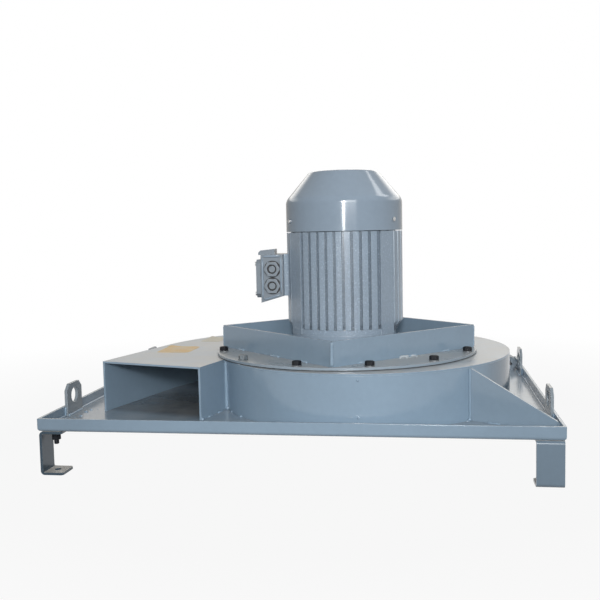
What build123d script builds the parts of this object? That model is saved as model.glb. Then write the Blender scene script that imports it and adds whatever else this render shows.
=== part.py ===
from build123d import *
import os
from math import atan, atan2, cos, degrees, hypot, pi, radians, sin, sqrt, tan

os.makedirs("parts", exist_ok=True)

# Centrifugal fan with a vertical motor on a low scroll housing, in millimetres.
# Origin: on the floor, under the middle of the tray.  X runs along the tray's
# long front edge, Y towards its back edge, Z upwards.  Angles are in degrees.

# Tray, one folded sheet
TRAY_LENGTH = 1000
TRAY_DEPTH = 820
TRAY_SHEET = 5
TRAY_FOLD = 2
RIM_HEIGHT = 26

# Legs, bent from flat bar
LEG_HEIGHT = 87
LEG_WIDTH = 50
LEG_FLANGE = 46
LEG_SHEET = 5
LEG_FOLD = 3
LEG_INSET = 2
LEG_CORNER_CUT = 4
LEG_HOLE_FROM_WEB = 24
LEG_BOLT = 10
LEG_BOLT_TAIL = 25
LEG_NUTS = 2
FOOT_HOLE = 13

# Lifting lugs
LUG_WIDTH = 72
LUG_HEIGHT = 66
LUG_SHEET = 6
LUG_CORNER = 13
LUG_HOLE = 32
LUG_HOLE_HEIGHT = 39
LUG_FROM_MIDDLE = 258

# Round socket lying on the tray's floor
SOCKET_FROM_SIDE = 26
SOCKET_FROM_BACK = 76
SOCKET_RADIUS = 17
SOCKET_LENGTH = 44
SOCKET_BORE = 9

# Impeller: the housing's sizes follow from its radius
IMPELLER_RADIUS = 240
IMPELLER_SHEET = 4
BACK_PLATE_DEPTH = 16
EYE_RADIUS = 136
EYE_WIDTH = 62
RIM_WIDTH = 44
SHROUD_SHEET = 3
SHROUD_NECK = 10
BLADES = 9
BLADE_SHEET = 4
BLADE_CURVE = 165
BLADE_LAG = 38
BLADE_INNER_RADIUS = 145
BLADE_TIP_INSET = 4
HUB_RADIUS = 34
HUB_FLANGE_RADIUS = 75
HUB_FLANGE = 6
HUB_CONE = 6
HUB_NOSE = 3
HUB_OVER_SHAFT = 1
RIVET = 8
RIVETS = 6
RIVET_CIRCLE = 58
RIVET_HEAD = 4
END_WASHER_RADIUS = 27
END_WASHER = 5
END_BOLT = 12
END_BOLT_DEPTH = 28
KEY_WIDTH = 10
KEY_HEIGHT = 8
KEY_DEPTH = 5
KEY_MARGIN = 4

# Scroll housing
FAN_FROM_RIGHT = 424
FAN_FROM_FRONT = 342
FAN_X = TRAY_LENGTH / 2 - FAN_FROM_RIGHT
FAN_Y = FAN_FROM_FRONT - TRAY_DEPTH / 2
SCROLL_HEIGHT = 104
SCROLL_SHEET = 4
CUTOFF_GAP = 39
CUTOFF_ANGLE = 209
SCROLL_GROWTH = 0.53
SPIRAL_POINTS = 15
OUTLET_DIRECTION = 256
OUTLET_WALL_LENGTH = 261
MOUTH_SKEW = 3
TONGUE = 8
GUSSET_ANGLE = -39
GUSSET_SHEET = 5
GUSSET_FROM_FRONT = 50
GUSSET_ROOT_DROP = 3
GUSSET_TOE_DROP = 3.5
GUSSET_OVERRUN = 8

# Motor plate on the scroll's round opening
OPENING_GAP = 15
PLATE_OVERLAP = 33
MOTOR_PLATE = 5
GASKET = 2
GASKET_INSET = 1
PLATE_BOLT = 10
PLATE_BOLTS = 12
PLATE_BOLT_EDGE = 14
PLATE_BOLT_TAIL = 10
WASHER = 2
STIFFENER_MARGIN = 5
STIFFENER_HEIGHT = 50
STIFFENER_SHEET = 5
STIFFENER_GAP = 1.5

# Inlet cone under the tray
INLET_GAP = 6
INLET_CURVE = 35
INLET_SHEET = 3
INLET_BOLT = 8
INLET_BOLTS = 8
INLET_BOLT_ROOM = 17
INLET_BOLT_EDGE = 15
INLET_BOLT_TAIL = 9

# Motor with a flange, frame size 132
MOTOR_FLANGE_RADIUS = 150
MOTOR_FLANGE = 14
SPIGOT_RADIUS = 115
SPIGOT = 4
FLANGE_BOLT = 12
FLANGE_BOLT_CIRCLE = 132.5
FLANGE_BOLT_TAIL = 12
FLANGE_BOLT_ANGLES = (45, 135, 225, 315)
FRAME_BORE = 100
FRAME_WALL = 8
FRAME_START = 40
FRAME_LENGTH = 219
FIN_TIP_RADIUS = 128
FIN_PITCH = 18.1
FIN_GROOVE = 6
FIN_DEPTH = 6
FIN_START = 12
FIN_POCKET_HEIGHT = 8
FIN_POCKET_DEPTH = 12
BAND_INSET = 1
FIN_BEVEL = 15
FIN_BEVEL_HEIGHT = 23
FRONT_FINS = 9
SIDE_FINS = 7
PAD_START = 30
PAD_END = 48
PAD_TAPER = 3
SHIELD_SCREW = 8
SHIELD_SCREW_CIRCLE = 117
SHIELD_SCREW_ANGLE = 41
SHIELD_SCREW_DEPTH = 20
SHIELD_EAR = 9
SHIELD_EAR_HEIGHT = 8
SHIELD_LIP = 4
SHIELD_SKIRT = 11
SHIELD_SCREW_WAY = 8
UPPER_SHIELD = 10
REGISTER = 6
REGISTER_WALL = 6
HOUSING_WALL = 8
SEAL_RADIUS = 31
SEAL_WIDTH = 7
STATOR_START = 96
STATOR_LENGTH = 120
STATOR_BORE = 67
AIR_GAP = 0.5
WINDING_OVERHANG = 28
WINDING_ROOM = 9
END_RING_BORE = 40
END_RING_HEIGHT = 14

# Shaft, and deep-groove ball bearings of 40 x 90 x 23
SHAFT_END = 80
SHAFT_END_RADIUS = 19
SHAFT_SHOULDER = 24
ROTOR_SEAT = 25
FAN_SEAT = 16
FAN_SEAT_LENGTH = 56
LOWER_BEARING_START = 10
UPPER_BEARING_START = 6
BEARING_BORE = 20
BEARING_RADIUS = 45
BEARING_WIDTH = 23
RACE_WALL = 8
BALL_CIRCLE = 32.5
BALL_RADIUS = 7.5
BALLS = 8
CAGE_SHEET = 4
CAGE_INSET = 2
SPRING_HEIGHT = 2

# Cooling fan and its cowl
COOLING_RADIUS = 102
COOLING_BLADES = 8
COOLING_BLADE_HEIGHT = 28
COOLING_SHEET = 4
COOLING_HUB_RADIUS = 28
COOLING_HUB_HEIGHT = 40
COOLING_START = 12
COWL_OVER_FINS = 0.5
COWL_SHEET = 1.6
COWL_GAP = 1.3
COWL_SKIRT = 68
COWL_CONE = 62
COWL_SHOULDER_ROUND = 24
COWL_TOP_RADIUS = 76
COWL_TOP_ROUND = 8
COWL_SLOTS = 20
COWL_SLOT_WIDTH = 5
COWL_SCREW = 5
COWL_SCREW_HEIGHT = 23
COWL_SCREW_ANGLES = (30, 150, 210, 330)
COWL_BOSS_WIDTH = 16

# Terminal box, measured from the fins and from the top of the motor plate
BOX_FROM_FINS = 3
BOX_LENGTH = 49
BOX_HALF_DEPTH = 57
BOX_LOW_OUTER = 106
BOX_LOW_INNER = 120
BOX_TOP = 212
BOX_WALL = 5
BOX_GASKET = 1
NECK_HALF_DEPTH = 40
WIRE_WAY = 15
WIRE_WAY_DEPTH = 20
TOP_PAD_LENGTH = 37
TOP_PAD_OVERHANG = 7.5
TOP_PAD_WIDTH = 30
TOP_PAD_FROM_FRONT = 12
TOP_PAD_LOW = 9
TOP_PAD_HIGH = 12
TOP_PAD_CORNER = 5
LID = 10
LID_MARGIN = 11
LID_CORNER = 9
LID_SCREW = 5
LID_SCREW_LENGTH = 20
LID_SCREW_EDGE = 9
LID_POST = 14
LID_POST_LENGTH = 12
GLAND_FROM_SEAT = 23
GLAND_HEIGHTS = (143, 180)
GLAND_ACROSS = 31
GLAND_HEX = 9
GLAND_THREAD = 12.5
GLAND_BORE = 10.5
PLUG_RECESS = 3
PLUG_HEAD = 7
TERMINAL_DEPTH = 12
TERMINAL_HALF_WIDTH = 28
TERMINAL_HALF_HEIGHT = 20
STUD = 5
STUD_COLUMNS = (-18, 0, 18)
STUD_ROWS = (-12, 12)

# Proportions of hexagon bolts and nuts, by thread size
HEX_ACROSS = 1.65
HEX_HEAD = 0.65
HEX_NUT = 0.8

# Fits and clearances
FIT = 0.02
RUNNING = 0.05
LOOSE = 0.3
BOLT_ROOM = 0.5

# Heights and radii that follow from the sizes above
TRAY_BOTTOM = LEG_HEIGHT
FLOOR = TRAY_BOTTOM + TRAY_SHEET
RIM_TOP = TRAY_BOTTOM + RIM_HEIGHT
WALL_TOP = FLOOR + SCROLL_HEIGHT
SCROLL_TOP = WALL_TOP + SCROLL_SHEET
PLATE_BOTTOM = SCROLL_TOP + GASKET
PLATE_TOP = PLATE_BOTTOM + MOTOR_PLATE
FRAME_BOTTOM = PLATE_TOP + FRAME_START
FRAME_TOP = FRAME_BOTTOM + FRAME_LENGTH
CUTOFF_RADIUS = IMPELLER_RADIUS + CUTOFF_GAP
OPENING_RADIUS = IMPELLER_RADIUS + OPENING_GAP
MOTOR_PLATE_RADIUS = OPENING_RADIUS + PLATE_OVERLAP
PLATE_BOLT_CIRCLE = MOTOR_PLATE_RADIUS - PLATE_BOLT_EDGE
INLET_RADIUS = EYE_RADIUS - INLET_GAP
INLET_BOLT_CIRCLE = INLET_RADIUS + INLET_CURVE + INLET_BOLT_ROOM
FOUR_CORNERS = ((1, 1), (1, -1), (-1, 1), (-1, -1))


def save(name, *solids):
    shape = solids[0] if len(solids) == 1 else Compound(children=list(solids))
    export_step(shape, f"parts/{name}.step")


def cylinder(radius, low, high, x=0.0, y=0.0):
    return Pos(x, y, (low + high) / 2) * Cylinder(radius, high - low)


def ring(outer, inner, low, high, x=0.0, y=0.0):
    return cylinder(outer, low, high, x, y) - cylinder(inner, low - 1, high + 1, x, y)


def block(x0, x1, y0, y1, z0, z1):
    middle = Pos((x0 + x1) / 2, (y0 + y1) / 2, (z0 + z1) / 2)
    return middle * Box(abs(x1 - x0), abs(y1 - y0), abs(z1 - z0))


def slab(points, low, high):
    """Plate with a given outline, between two heights."""
    outline = make_face(Polyline(*[(x, y, low) for x, y in points], close=True))
    return extrude(outline, amount=high - low, dir=(0, 0, 1))


def side_slab(points, y0, y1):
    """Shape drawn in the XZ plane and pulled along Y."""
    outline = make_face(Polyline(*[(x, y0, z) for x, z in points], close=True))
    return extrude(outline, amount=y1 - y0, dir=(0, 1, 0))


def turned(profile, x=FAN_X, y=FAN_Y):
    """Radius and height profile turned about a vertical axis."""
    outline = make_face(Polyline(*[(r, 0, z) for r, z in profile], close=True))
    return Pos(x, y, 0) * revolve(outline, Axis.Z)


def along_x(radius, x0, x1, y=0.0, z=0.0):
    return Pos((x0 + x1) / 2, y, z) * Rot(0, 90, 0) * Cylinder(radius, abs(x1 - x0))


def around(shape, count, first=0.0, x=FAN_X, y=FAN_Y):
    """Copies of a shape drawn round the origin, spaced evenly round a vertical axis."""
    return [Pos(x, y, 0) * Rot(0, 0, first + k * 360 / count) * shape for k in range(count)]


def polar(radius, angle, x=FAN_X, y=FAN_Y):
    return (x + radius * cos(radians(angle)), y + radius * sin(radians(angle)))


def circle_points(radius, count, first=0.0):
    return [polar(radius, first + k * 360 / count) for k in range(count)]


def hexagon(across, low, high, x=0.0, y=0.0):
    corner = across / sqrt(3)
    return slab([polar(corner, 60 * k, x, y) for k in range(6)], low, high)


def bolt_up(size, seat, tip, x, y):
    """Hexagon bolt with its head below the seat and its shank pointing up."""
    head = hexagon(HEX_ACROSS * size, seat - HEX_HEAD * size, seat, x, y)
    return head + cylinder(size / 2, seat, tip, x, y)


def bolt_down(size, seat, tip, x, y):
    """Hexagon bolt with its head above the seat and its shank pointing down."""
    head = hexagon(HEX_ACROSS * size, seat, seat + HEX_HEAD * size, x, y)
    return head + cylinder(size / 2, tip, seat, x, y)


def nut(size, low, x, y):
    body = hexagon(HEX_ACROSS * size, low, low + HEX_NUT * size, x, y)
    return body - cylinder(size / 2 + FIT, low - 1, low + size, x, y)


# Legs: one at each corner, each turned a quarter turn from the last
def leg():
    """Channel-shaped bracket: web on the YZ plane at x = 0, flanges towards +X."""
    under_flange = LEG_HEIGHT - LEG_SHEET
    outer = block(0, LEG_FLANGE, 0, LEG_WIDTH, 0, LEG_HEIGHT)
    folds = outer.edges().filter_by(Axis.Y).sort_by(Axis.X)[:2]
    outer = fillet(folds, LEG_FOLD + LEG_SHEET)
    inner = block(LEG_SHEET, LEG_FLANGE + 10, -1, LEG_WIDTH + 1, LEG_SHEET, under_flange)
    folds = inner.edges().filter_by(Axis.Y).sort_by(Axis.X)[:2]
    inner = fillet(folds, LEG_FOLD)
    bracket = outer - inner
    tips = bracket.edges().filter_by(Axis.Z).sort_by(Axis.X)[-4:]
    bracket = chamfer(tips, LEG_CORNER_CUT)
    spot = (LEG_HOLE_FROM_WEB, LEG_WIDTH / 2)
    bracket -= cylinder(FOOT_HOLE / 2, -1, LEG_SHEET + 1, *spot)
    bracket -= cylinder(LEG_BOLT / 2 + BOLT_ROOM, under_flange - 1, LEG_HEIGHT + 1, *spot)
    return bracket


leg_x = TRAY_LENGTH / 2 - LEG_INSET
leg_y = TRAY_DEPTH / 2 - LEG_INSET
leg_places = {
    "leg_front_left": (-leg_x, -leg_y, 0),
    "leg_front_right": (leg_x, -leg_y, 90),
    "leg_back_right": (leg_x, leg_y, 180),
    "leg_back_left": (-leg_x, leg_y, 270),
}
leg_shape = leg()
leg_bolt_points = []
leg_bolts = []
leg_nuts = []
for leg_name, (corner_x, corner_y, turn) in leg_places.items():
    place = Pos(corner_x, corner_y, 0) * Rot(0, 0, turn)
    save(leg_name, place * leg_shape)
    spot = (place * Pos(LEG_HOLE_FROM_WEB, LEG_WIDTH / 2, 0)).position
    under_flange = LEG_HEIGHT - LEG_SHEET
    leg_bolt_points.append((spot.X, spot.Y))
    leg_bolts.append(bolt_down(LEG_BOLT, FLOOR, under_flange - LEG_BOLT_TAIL, spot.X, spot.Y))
    for k in range(LEG_NUTS):
        nut_bottom = under_flange - (k + 1) * HEX_NUT * LEG_BOLT
        leg_nuts.append(nut(LEG_BOLT, nut_bottom, spot.X, spot.Y))
save("leg_bolts", *leg_bolts)

# Tray: one folded sheet with the corners of its rim welded shut
rim_x = TRAY_LENGTH / 2 - TRAY_SHEET
rim_y = TRAY_DEPTH / 2 - TRAY_SHEET
tray = block(
    -TRAY_LENGTH / 2, TRAY_LENGTH / 2, -TRAY_DEPTH / 2, TRAY_DEPTH / 2, TRAY_BOTTOM, RIM_TOP
)
tray = fillet(tray.faces().sort_by(Axis.Z)[0].edges(), TRAY_FOLD + TRAY_SHEET)
hollow = block(-rim_x, rim_x, -rim_y, rim_y, FLOOR, RIM_TOP + 10)
tray -= fillet(hollow.faces().sort_by(Axis.Z)[0].edges(), TRAY_FOLD)
tray -= cylinder(INLET_RADIUS + INLET_CURVE + 1, TRAY_BOTTOM - 1, FLOOR + 1, FAN_X, FAN_Y)
for x, y in leg_bolt_points:
    tray -= cylinder(LEG_BOLT / 2 + BOLT_ROOM, TRAY_BOTTOM - 1, FLOOR + 1, x, y)
inlet_bolt_points = circle_points(INLET_BOLT_CIRCLE, INLET_BOLTS)
for x, y in inlet_bolt_points:
    tray -= cylinder(INLET_BOLT / 2 + BOLT_ROOM, TRAY_BOTTOM - 1, FLOOR + 1, x, y)
save("base_tray", tray)

# Round socket lying on the tray's floor near the back right corner, on a flat foot
socket_x = TRAY_LENGTH / 2 - SOCKET_FROM_SIDE
socket_y = TRAY_DEPTH / 2 - SOCKET_FROM_BACK
socket_lie = Pos(socket_x, socket_y, FLOOR + SOCKET_RADIUS) * Rot(90, 0, 0)
socket = socket_lie * Cylinder(SOCKET_RADIUS, SOCKET_LENGTH)
socket += block(
    socket_x - SOCKET_RADIUS / 2,
    socket_x + SOCKET_RADIUS / 2,
    socket_y - SOCKET_LENGTH / 2,
    socket_y + SOCKET_LENGTH / 2,
    FLOOR,
    FLOOR + SOCKET_RADIUS,
)
socket -= socket_lie * Cylinder(SOCKET_BORE / 2, SOCKET_LENGTH + 2)
save("floor_socket", socket)

# Lifting lugs, welded to the inside of the two side rims
lug_half = LUG_WIDTH / 2
lug_outline = [
    (-lug_half, 0),
    (lug_half, 0),
    (lug_half, LUG_HEIGHT - LUG_CORNER),
    (lug_half - LUG_CORNER, LUG_HEIGHT),
    (-lug_half + LUG_CORNER, LUG_HEIGHT),
    (-lug_half, LUG_HEIGHT - LUG_CORNER),
]
lug_flat = slab(lug_outline, 0, LUG_SHEET)
lug_flat -= cylinder(LUG_HOLE / 2, -1, LUG_SHEET + 1, 0, LUG_HOLE_HEIGHT)
lug_upright = Rot(0, 0, 90) * Rot(90, 0, 0) * lug_flat
lugs = []
for lug_x in (-rim_x, rim_x - LUG_SHEET):
    for lug_y in (-LUG_FROM_MIDDLE, LUG_FROM_MIDDLE):
        lugs.append(Pos(lug_x, lug_y, FLOOR) * lug_upright - tray)
save("lifting_lugs", *lugs)


# Scroll: a wall that moves steadily away from the fan's axis, from the cut-off
# round to the straight wall of the outlet
def scroll_radius(angle):
    return CUTOFF_RADIUS + SCROLL_GROWTH * (angle - CUTOFF_ANGLE)


def spiral(angle, inset=0.0):
    """Point on the wall at an angle, moved square to the wall by the inset."""
    radius = scroll_radius(angle)
    growth = degrees(SCROLL_GROWTH)
    c, s = cos(radians(angle)), sin(radians(angle))
    along = (growth * c - radius * s, growth * s + radius * c)
    size = hypot(*along)
    return (
        FAN_X + radius * c - inset * along[1] / size,
        FAN_Y + radius * s + inset * along[0] / size,
    )


def spiral_edge(first, last, inset, z):
    angles = [first + (last - first) * k / (SPIRAL_POINTS - 1) for k in range(SPIRAL_POINTS)]
    return Spline(*[(*spiral(angle, inset), z) for angle in angles])


outlet = (cos(radians(OUTLET_DIRECTION)), sin(radians(OUTLET_DIRECTION)))
across = (-outlet[1], outlet[0])


def step(point, forwards=0.0, sideways=0.0):
    """A point moved along the outlet and across it, towards its right wall."""
    return (
        point[0] + outlet[0] * forwards + across[0] * sideways,
        point[1] + outlet[1] * forwards + across[1] * sideways,
    )


def sideways_of(point, other):
    """Distance across the outlet from one point to another."""
    return (other[0] - point[0]) * across[0] + (other[1] - point[1]) * across[1]


# The wall ends where it runs along the outlet
wall_end_angle = OUTLET_DIRECTION + 270
for _ in range(20):
    slope = degrees(SCROLL_GROWTH) / scroll_radius(wall_end_angle)
    wall_end_angle = OUTLET_DIRECTION + 270 + degrees(atan(slope))

# The wall's inner face starts where it meets the plane of the outlet's right wall
cutoff = spiral(CUTOFF_ANGLE)
low_angle, high_angle = CUTOFF_ANGLE - 5, CUTOFF_ANGLE + 5
for _ in range(40):
    inner_start_angle = (low_angle + high_angle) / 2
    if sideways_of(cutoff, spiral(inner_start_angle, SCROLL_SHEET)) < 0:
        low_angle = inner_start_angle
    else:
        high_angle = inner_start_angle

wall_end = spiral(wall_end_angle)
outlet_width = sideways_of(wall_end, cutoff)
skew = tan(radians(MOUTH_SKEW))
mouth_left = step(wall_end, OUTLET_WALL_LENGTH)
mouth_right = step(mouth_left, skew * outlet_width, outlet_width)
mouth_left_inner = step(mouth_left, skew * SCROLL_SHEET, SCROLL_SHEET)
mouth_right_inner = step(mouth_right, -skew * SCROLL_SHEET, -SCROLL_SHEET)
tongue_tip = step(cutoff, -TONGUE)


def flat_line(start, end, z):
    return Line((*start, z), (*end, z))


wall_outline = make_face(
    [
        spiral_edge(CUTOFF_ANGLE, wall_end_angle, 0, FLOOR),
        flat_line(wall_end, mouth_left, FLOOR),
        flat_line(mouth_left, mouth_left_inner, FLOOR),
        flat_line(mouth_left_inner, spiral(wall_end_angle, SCROLL_SHEET), FLOOR),
        spiral_edge(inner_start_angle, wall_end_angle, SCROLL_SHEET, FLOOR),
        flat_line(spiral(inner_start_angle, SCROLL_SHEET), cutoff, FLOOR),
    ]
)
scroll_wall = extrude(wall_outline, amount=SCROLL_HEIGHT, dir=(0, 0, 1))
outlet_side = slab(
    [tongue_tip, step(tongue_tip, 0, -SCROLL_SHEET), mouth_right_inner, mouth_right],
    FLOOR,
    WALL_TOP,
)
save("outlet_side_wall", outlet_side)
save("scroll_wall", scroll_wall - outlet_side)

plate_bolt_points = circle_points(PLATE_BOLT_CIRCLE, PLATE_BOLTS, 180 / PLATE_BOLTS)
scroll_outline = make_face(
    [
        spiral_edge(CUTOFF_ANGLE, wall_end_angle, 0, FLOOR),
        flat_line(wall_end, mouth_left, FLOOR),
        flat_line(mouth_left, mouth_right, FLOOR),
        flat_line(mouth_right, cutoff, FLOOR),
    ]
)
scroll_body = extrude(scroll_outline, amount=SCROLL_TOP - FLOOR, dir=(0, 0, 1))
top_plate = scroll_body & block(
    -TRAY_LENGTH / 2, TRAY_LENGTH / 2, -TRAY_DEPTH / 2, TRAY_DEPTH / 2, WALL_TOP, SCROLL_TOP
)
top_plate -= cylinder(OPENING_RADIUS, WALL_TOP - 1, SCROLL_TOP + 1, FAN_X, FAN_Y)
for x, y in plate_bolt_points:
    top_plate -= cylinder(PLATE_BOLT / 2 + BOLT_ROOM, WALL_TOP - 1, SCROLL_TOP + 1, x, y)
save("scroll_top_plate", top_plate)

# Gusset from the scroll wall to the tray's right rim, cut to both
gusset_root = spiral(GUSSET_ANGLE + 360)
gusset_end = (rim_x, -TRAY_DEPTH / 2 + GUSSET_FROM_FRONT)
gusset_run = (gusset_end[0] - gusset_root[0], gusset_end[1] - gusset_root[1])
gusset_length = hypot(*gusset_run)
gusset_root_top = SCROLL_TOP - GUSSET_ROOT_DROP
gusset_toe_top = RIM_TOP - GUSSET_TOE_DROP
gusset_fall = (gusset_root_top - gusset_toe_top) / gusset_length
gusset = side_slab(
    [
        (-GUSSET_OVERRUN, FLOOR),
        (gusset_length + GUSSET_OVERRUN, FLOOR),
        (gusset_length + GUSSET_OVERRUN, gusset_toe_top - GUSSET_OVERRUN * gusset_fall),
        (0, gusset_root_top),
        (-GUSSET_OVERRUN, gusset_root_top),
    ],
    -GUSSET_SHEET / 2,
    GUSSET_SHEET / 2,
)
gusset_turn = degrees(atan2(gusset_run[1], gusset_run[0]))
gusset = Pos(gusset_root[0], gusset_root[1], 0) * Rot(0, 0, gusset_turn) * gusset
gusset -= scroll_body
gusset &= block(FAN_X, rim_x, -rim_y, rim_y, FLOOR, SCROLL_TOP)
save("front_gusset", gusset - tray)

# Motor plate, its gasket and its bolts
gasket = ring(
    MOTOR_PLATE_RADIUS - GASKET_INSET, OPENING_RADIUS, SCROLL_TOP, PLATE_BOTTOM, FAN_X, FAN_Y
)
motor_plate = ring(
    MOTOR_PLATE_RADIUS, SPIGOT_RADIUS + RUNNING, PLATE_BOTTOM, PLATE_TOP, FAN_X, FAN_Y
)
plate_bolts = []
plate_washers = []
plate_nuts = []
washer_top = PLATE_TOP + WASHER
for x, y in plate_bolt_points:
    hole = cylinder(PLATE_BOLT / 2 + BOLT_ROOM, SCROLL_TOP - 1, PLATE_TOP + 1, x, y)
    gasket -= hole
    motor_plate -= hole
    plate_washers.append(ring(PLATE_BOLT, PLATE_BOLT / 2 + LOOSE, PLATE_TOP, washer_top, x, y))
    plate_bolts.append(bolt_down(PLATE_BOLT, washer_top, WALL_TOP - PLATE_BOLT_TAIL, x, y))
    plate_nuts.append(nut(PLATE_BOLT, WALL_TOP - HEX_NUT * PLATE_BOLT, x, y))
flange_bolt_points = [polar(FLANGE_BOLT_CIRCLE, angle) for angle in FLANGE_BOLT_ANGLES]
flange_hole = FLANGE_BOLT / 2 + 2 * BOLT_ROOM
for x, y in flange_bolt_points:
    motor_plate -= cylinder(flange_hole, PLATE_BOTTOM - 1, PLATE_TOP + 1, x, y)
save("motor_plate_gasket", gasket)
save("motor_plate", motor_plate)
save("motor_plate_bolts", *plate_bolts)
save("motor_plate_washers", *plate_washers)
save("nuts_m10", *plate_nuts, *leg_nuts)

# Stiffening frame: four flat bars on edge, welded corner to corner
bar_outer = (MOTOR_PLATE_RADIUS - STIFFENER_MARGIN) / sqrt(2)
bar_inner = bar_outer - STIFFENER_SHEET
bar = slab(
    [
        (-bar_outer + STIFFENER_GAP, -bar_outer),
        (bar_outer - STIFFENER_GAP, -bar_outer),
        (bar_inner - STIFFENER_GAP, -bar_inner),
        (-bar_inner + STIFFENER_GAP, -bar_inner),
    ],
    PLATE_TOP,
    PLATE_TOP + STIFFENER_HEIGHT,
)
bar_names = ("front_left", "front_right", "back_right", "back_left")
for bar_name, one_bar in zip(bar_names, around(bar, 4, -45)):
    save(f"stiffener_{bar_name}", one_bar)


# Inlet cone, bolted under the tray: a quarter circle curls up into the eye
def inlet_arc(radius):
    """Quarter circle from the throat down to the flange, about the curl's centre."""
    half = radius / sqrt(2)
    middle = (curl_radius - half, 0, curl_height - half)
    return ThreePointArc(
        (curl_radius - radius, 0, curl_height), middle, (curl_radius, 0, curl_height - radius)
    )


curl_radius = INLET_RADIUS + INLET_CURVE
curl_height = TRAY_BOTTOM + INLET_CURVE
inlet_low = TRAY_BOTTOM - INLET_SHEET
inlet_rim = INLET_BOLT_CIRCLE + INLET_BOLT_EDGE
inlet_profile = make_face(
    [
        Line((INLET_RADIUS, 0, curl_height), (INLET_RADIUS - INLET_SHEET, 0, curl_height)),
        inlet_arc(INLET_CURVE + INLET_SHEET),
        Line((curl_radius, 0, inlet_low), (inlet_rim, 0, inlet_low)),
        Line((inlet_rim, 0, inlet_low), (inlet_rim, 0, TRAY_BOTTOM)),
        Line((inlet_rim, 0, TRAY_BOTTOM), (curl_radius, 0, TRAY_BOTTOM)),
        inlet_arc(INLET_CURVE),
    ]
)
inlet_cone = Pos(FAN_X, FAN_Y, 0) * revolve(inlet_profile, Axis.Z)
inlet_bolts = []
inlet_nuts = []
for x, y in inlet_bolt_points:
    inlet_cone -= cylinder(INLET_BOLT / 2 + BOLT_ROOM, inlet_low - 1, TRAY_BOTTOM + 1, x, y)
    inlet_bolts.append(bolt_up(INLET_BOLT, inlet_low, FLOOR + INLET_BOLT_TAIL, x, y))
    inlet_nuts.append(nut(INLET_BOLT, FLOOR, x, y))
save("inlet_cone", inlet_cone)
save("inlet_bolts", *inlet_bolts)
save("inlet_nuts", *inlet_nuts)

# Impeller: hub, back plate, backward-curved blades and a conical shroud
shaft_bottom = PLATE_TOP - SHAFT_END
hub_bottom = shaft_bottom - HUB_OVER_SHAFT
back_top = PLATE_BOTTOM - BACK_PLATE_DEPTH
back_bottom = back_top - IMPELLER_SHEET
hub_flange_low = back_bottom - HUB_FLANGE
eye_level = back_bottom - EYE_WIDTH
rim_level = back_bottom - RIM_WIDTH
neck_low = eye_level - SHROUD_NECK
neck_outer = EYE_RADIUS + SHROUD_SHEET
shroud_slope = (rim_level - eye_level) / (IMPELLER_RADIUS - neck_outer)
blade_outer_radius = IMPELLER_RADIUS - BLADE_TIP_INSET
save(
    "impeller_shroud",
    turned(
        [
            (EYE_RADIUS, neck_low),
            (neck_outer, neck_low),
            (neck_outer, eye_level - SHROUD_SHEET),
            (IMPELLER_RADIUS, rim_level - SHROUD_SHEET),
            (IMPELLER_RADIUS, rim_level),
            (neck_outer, eye_level),
            (EYE_RADIUS, eye_level - 1),
        ]
    ),
)

back_plate = ring(IMPELLER_RADIUS, HUB_RADIUS + FIT, back_bottom, back_top, FAN_X, FAN_Y)
hub = turned(
    [
        (SHAFT_END_RADIUS + FIT, hub_bottom),
        (HUB_RADIUS, hub_bottom),
        (HUB_RADIUS, hub_flange_low - HUB_CONE),
        (HUB_RADIUS + HUB_CONE, hub_flange_low),
        (HUB_FLANGE_RADIUS, hub_flange_low),
        (HUB_FLANGE_RADIUS, back_bottom),
        (HUB_RADIUS, back_bottom),
        (HUB_RADIUS, back_top + HUB_NOSE),
        (SHAFT_END_RADIUS + FIT, back_top + HUB_NOSE),
    ]
)
rivets = []
for x, y in circle_points(RIVET_CIRCLE, RIVETS, 180 / RIVETS):
    hole = cylinder(RIVET / 2 + LOOSE, hub_flange_low - 1, back_top + 1, x, y)
    hub -= hole
    back_plate -= hole
    rivet = cylinder(RIVET / 2, hub_flange_low, back_top, x, y)
    rivet += cylinder(RIVET, hub_flange_low - RIVET_HEAD, hub_flange_low, x, y)
    rivet += cylinder(RIVET, back_top, back_top + RIVET_HEAD, x, y)
    rivets.append(rivet)

# Key between the shaft and the hub
key_low = hub_bottom + KEY_MARGIN
key_high = back_top - KEY_MARGIN
key_inner = SHAFT_END_RADIUS - KEY_DEPTH
key_outer = key_inner + KEY_HEIGHT
key_half = KEY_WIDTH / 2
fan_axis = Pos(FAN_X, FAN_Y, 0)
key = fan_axis * block(
    key_inner + FIT, key_outer - FIT, -key_half + FIT, key_half - FIT, key_low, key_high
)
hub -= fan_axis * block(0, key_outer, -key_half, key_half, hub_bottom - 1, PLATE_BOTTOM)
save("impeller_hub", hub)
save("impeller_back_plate", back_plate)
save("impeller_hub_rivets", *rivets)
save("impeller_key", key)


def shroud_level(radius):
    return eye_level + (radius - neck_outer) * shroud_slope


def blade():
    """Arc-shaped plate, cut to the shroud's cone, whose tip lags behind its inner end."""
    lag = radians(BLADE_LAG)
    tip = (blade_outer_radius * cos(lag), -blade_outer_radius * sin(lag))
    run = (tip[0] - BLADE_INNER_RADIUS, tip[1])
    chord = hypot(*run)
    depth = sqrt(BLADE_CURVE**2 - chord**2 / 4) / chord
    centre_x = BLADE_INNER_RADIUS + run[0] / 2 + run[1] * depth
    centre_y = run[1] / 2 - run[0] * depth
    outer = BLADE_CURVE + BLADE_SHEET / 2
    inner = BLADE_CURVE - BLADE_SHEET / 2
    plate = ring(outer, inner, neck_low, back_bottom, centre_x, centre_y)
    sector = block(
        HUB_RADIUS, IMPELLER_RADIUS, -IMPELLER_RADIUS, HUB_RADIUS, neck_low, back_bottom
    )
    return plate & sector & blade_room


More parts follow.
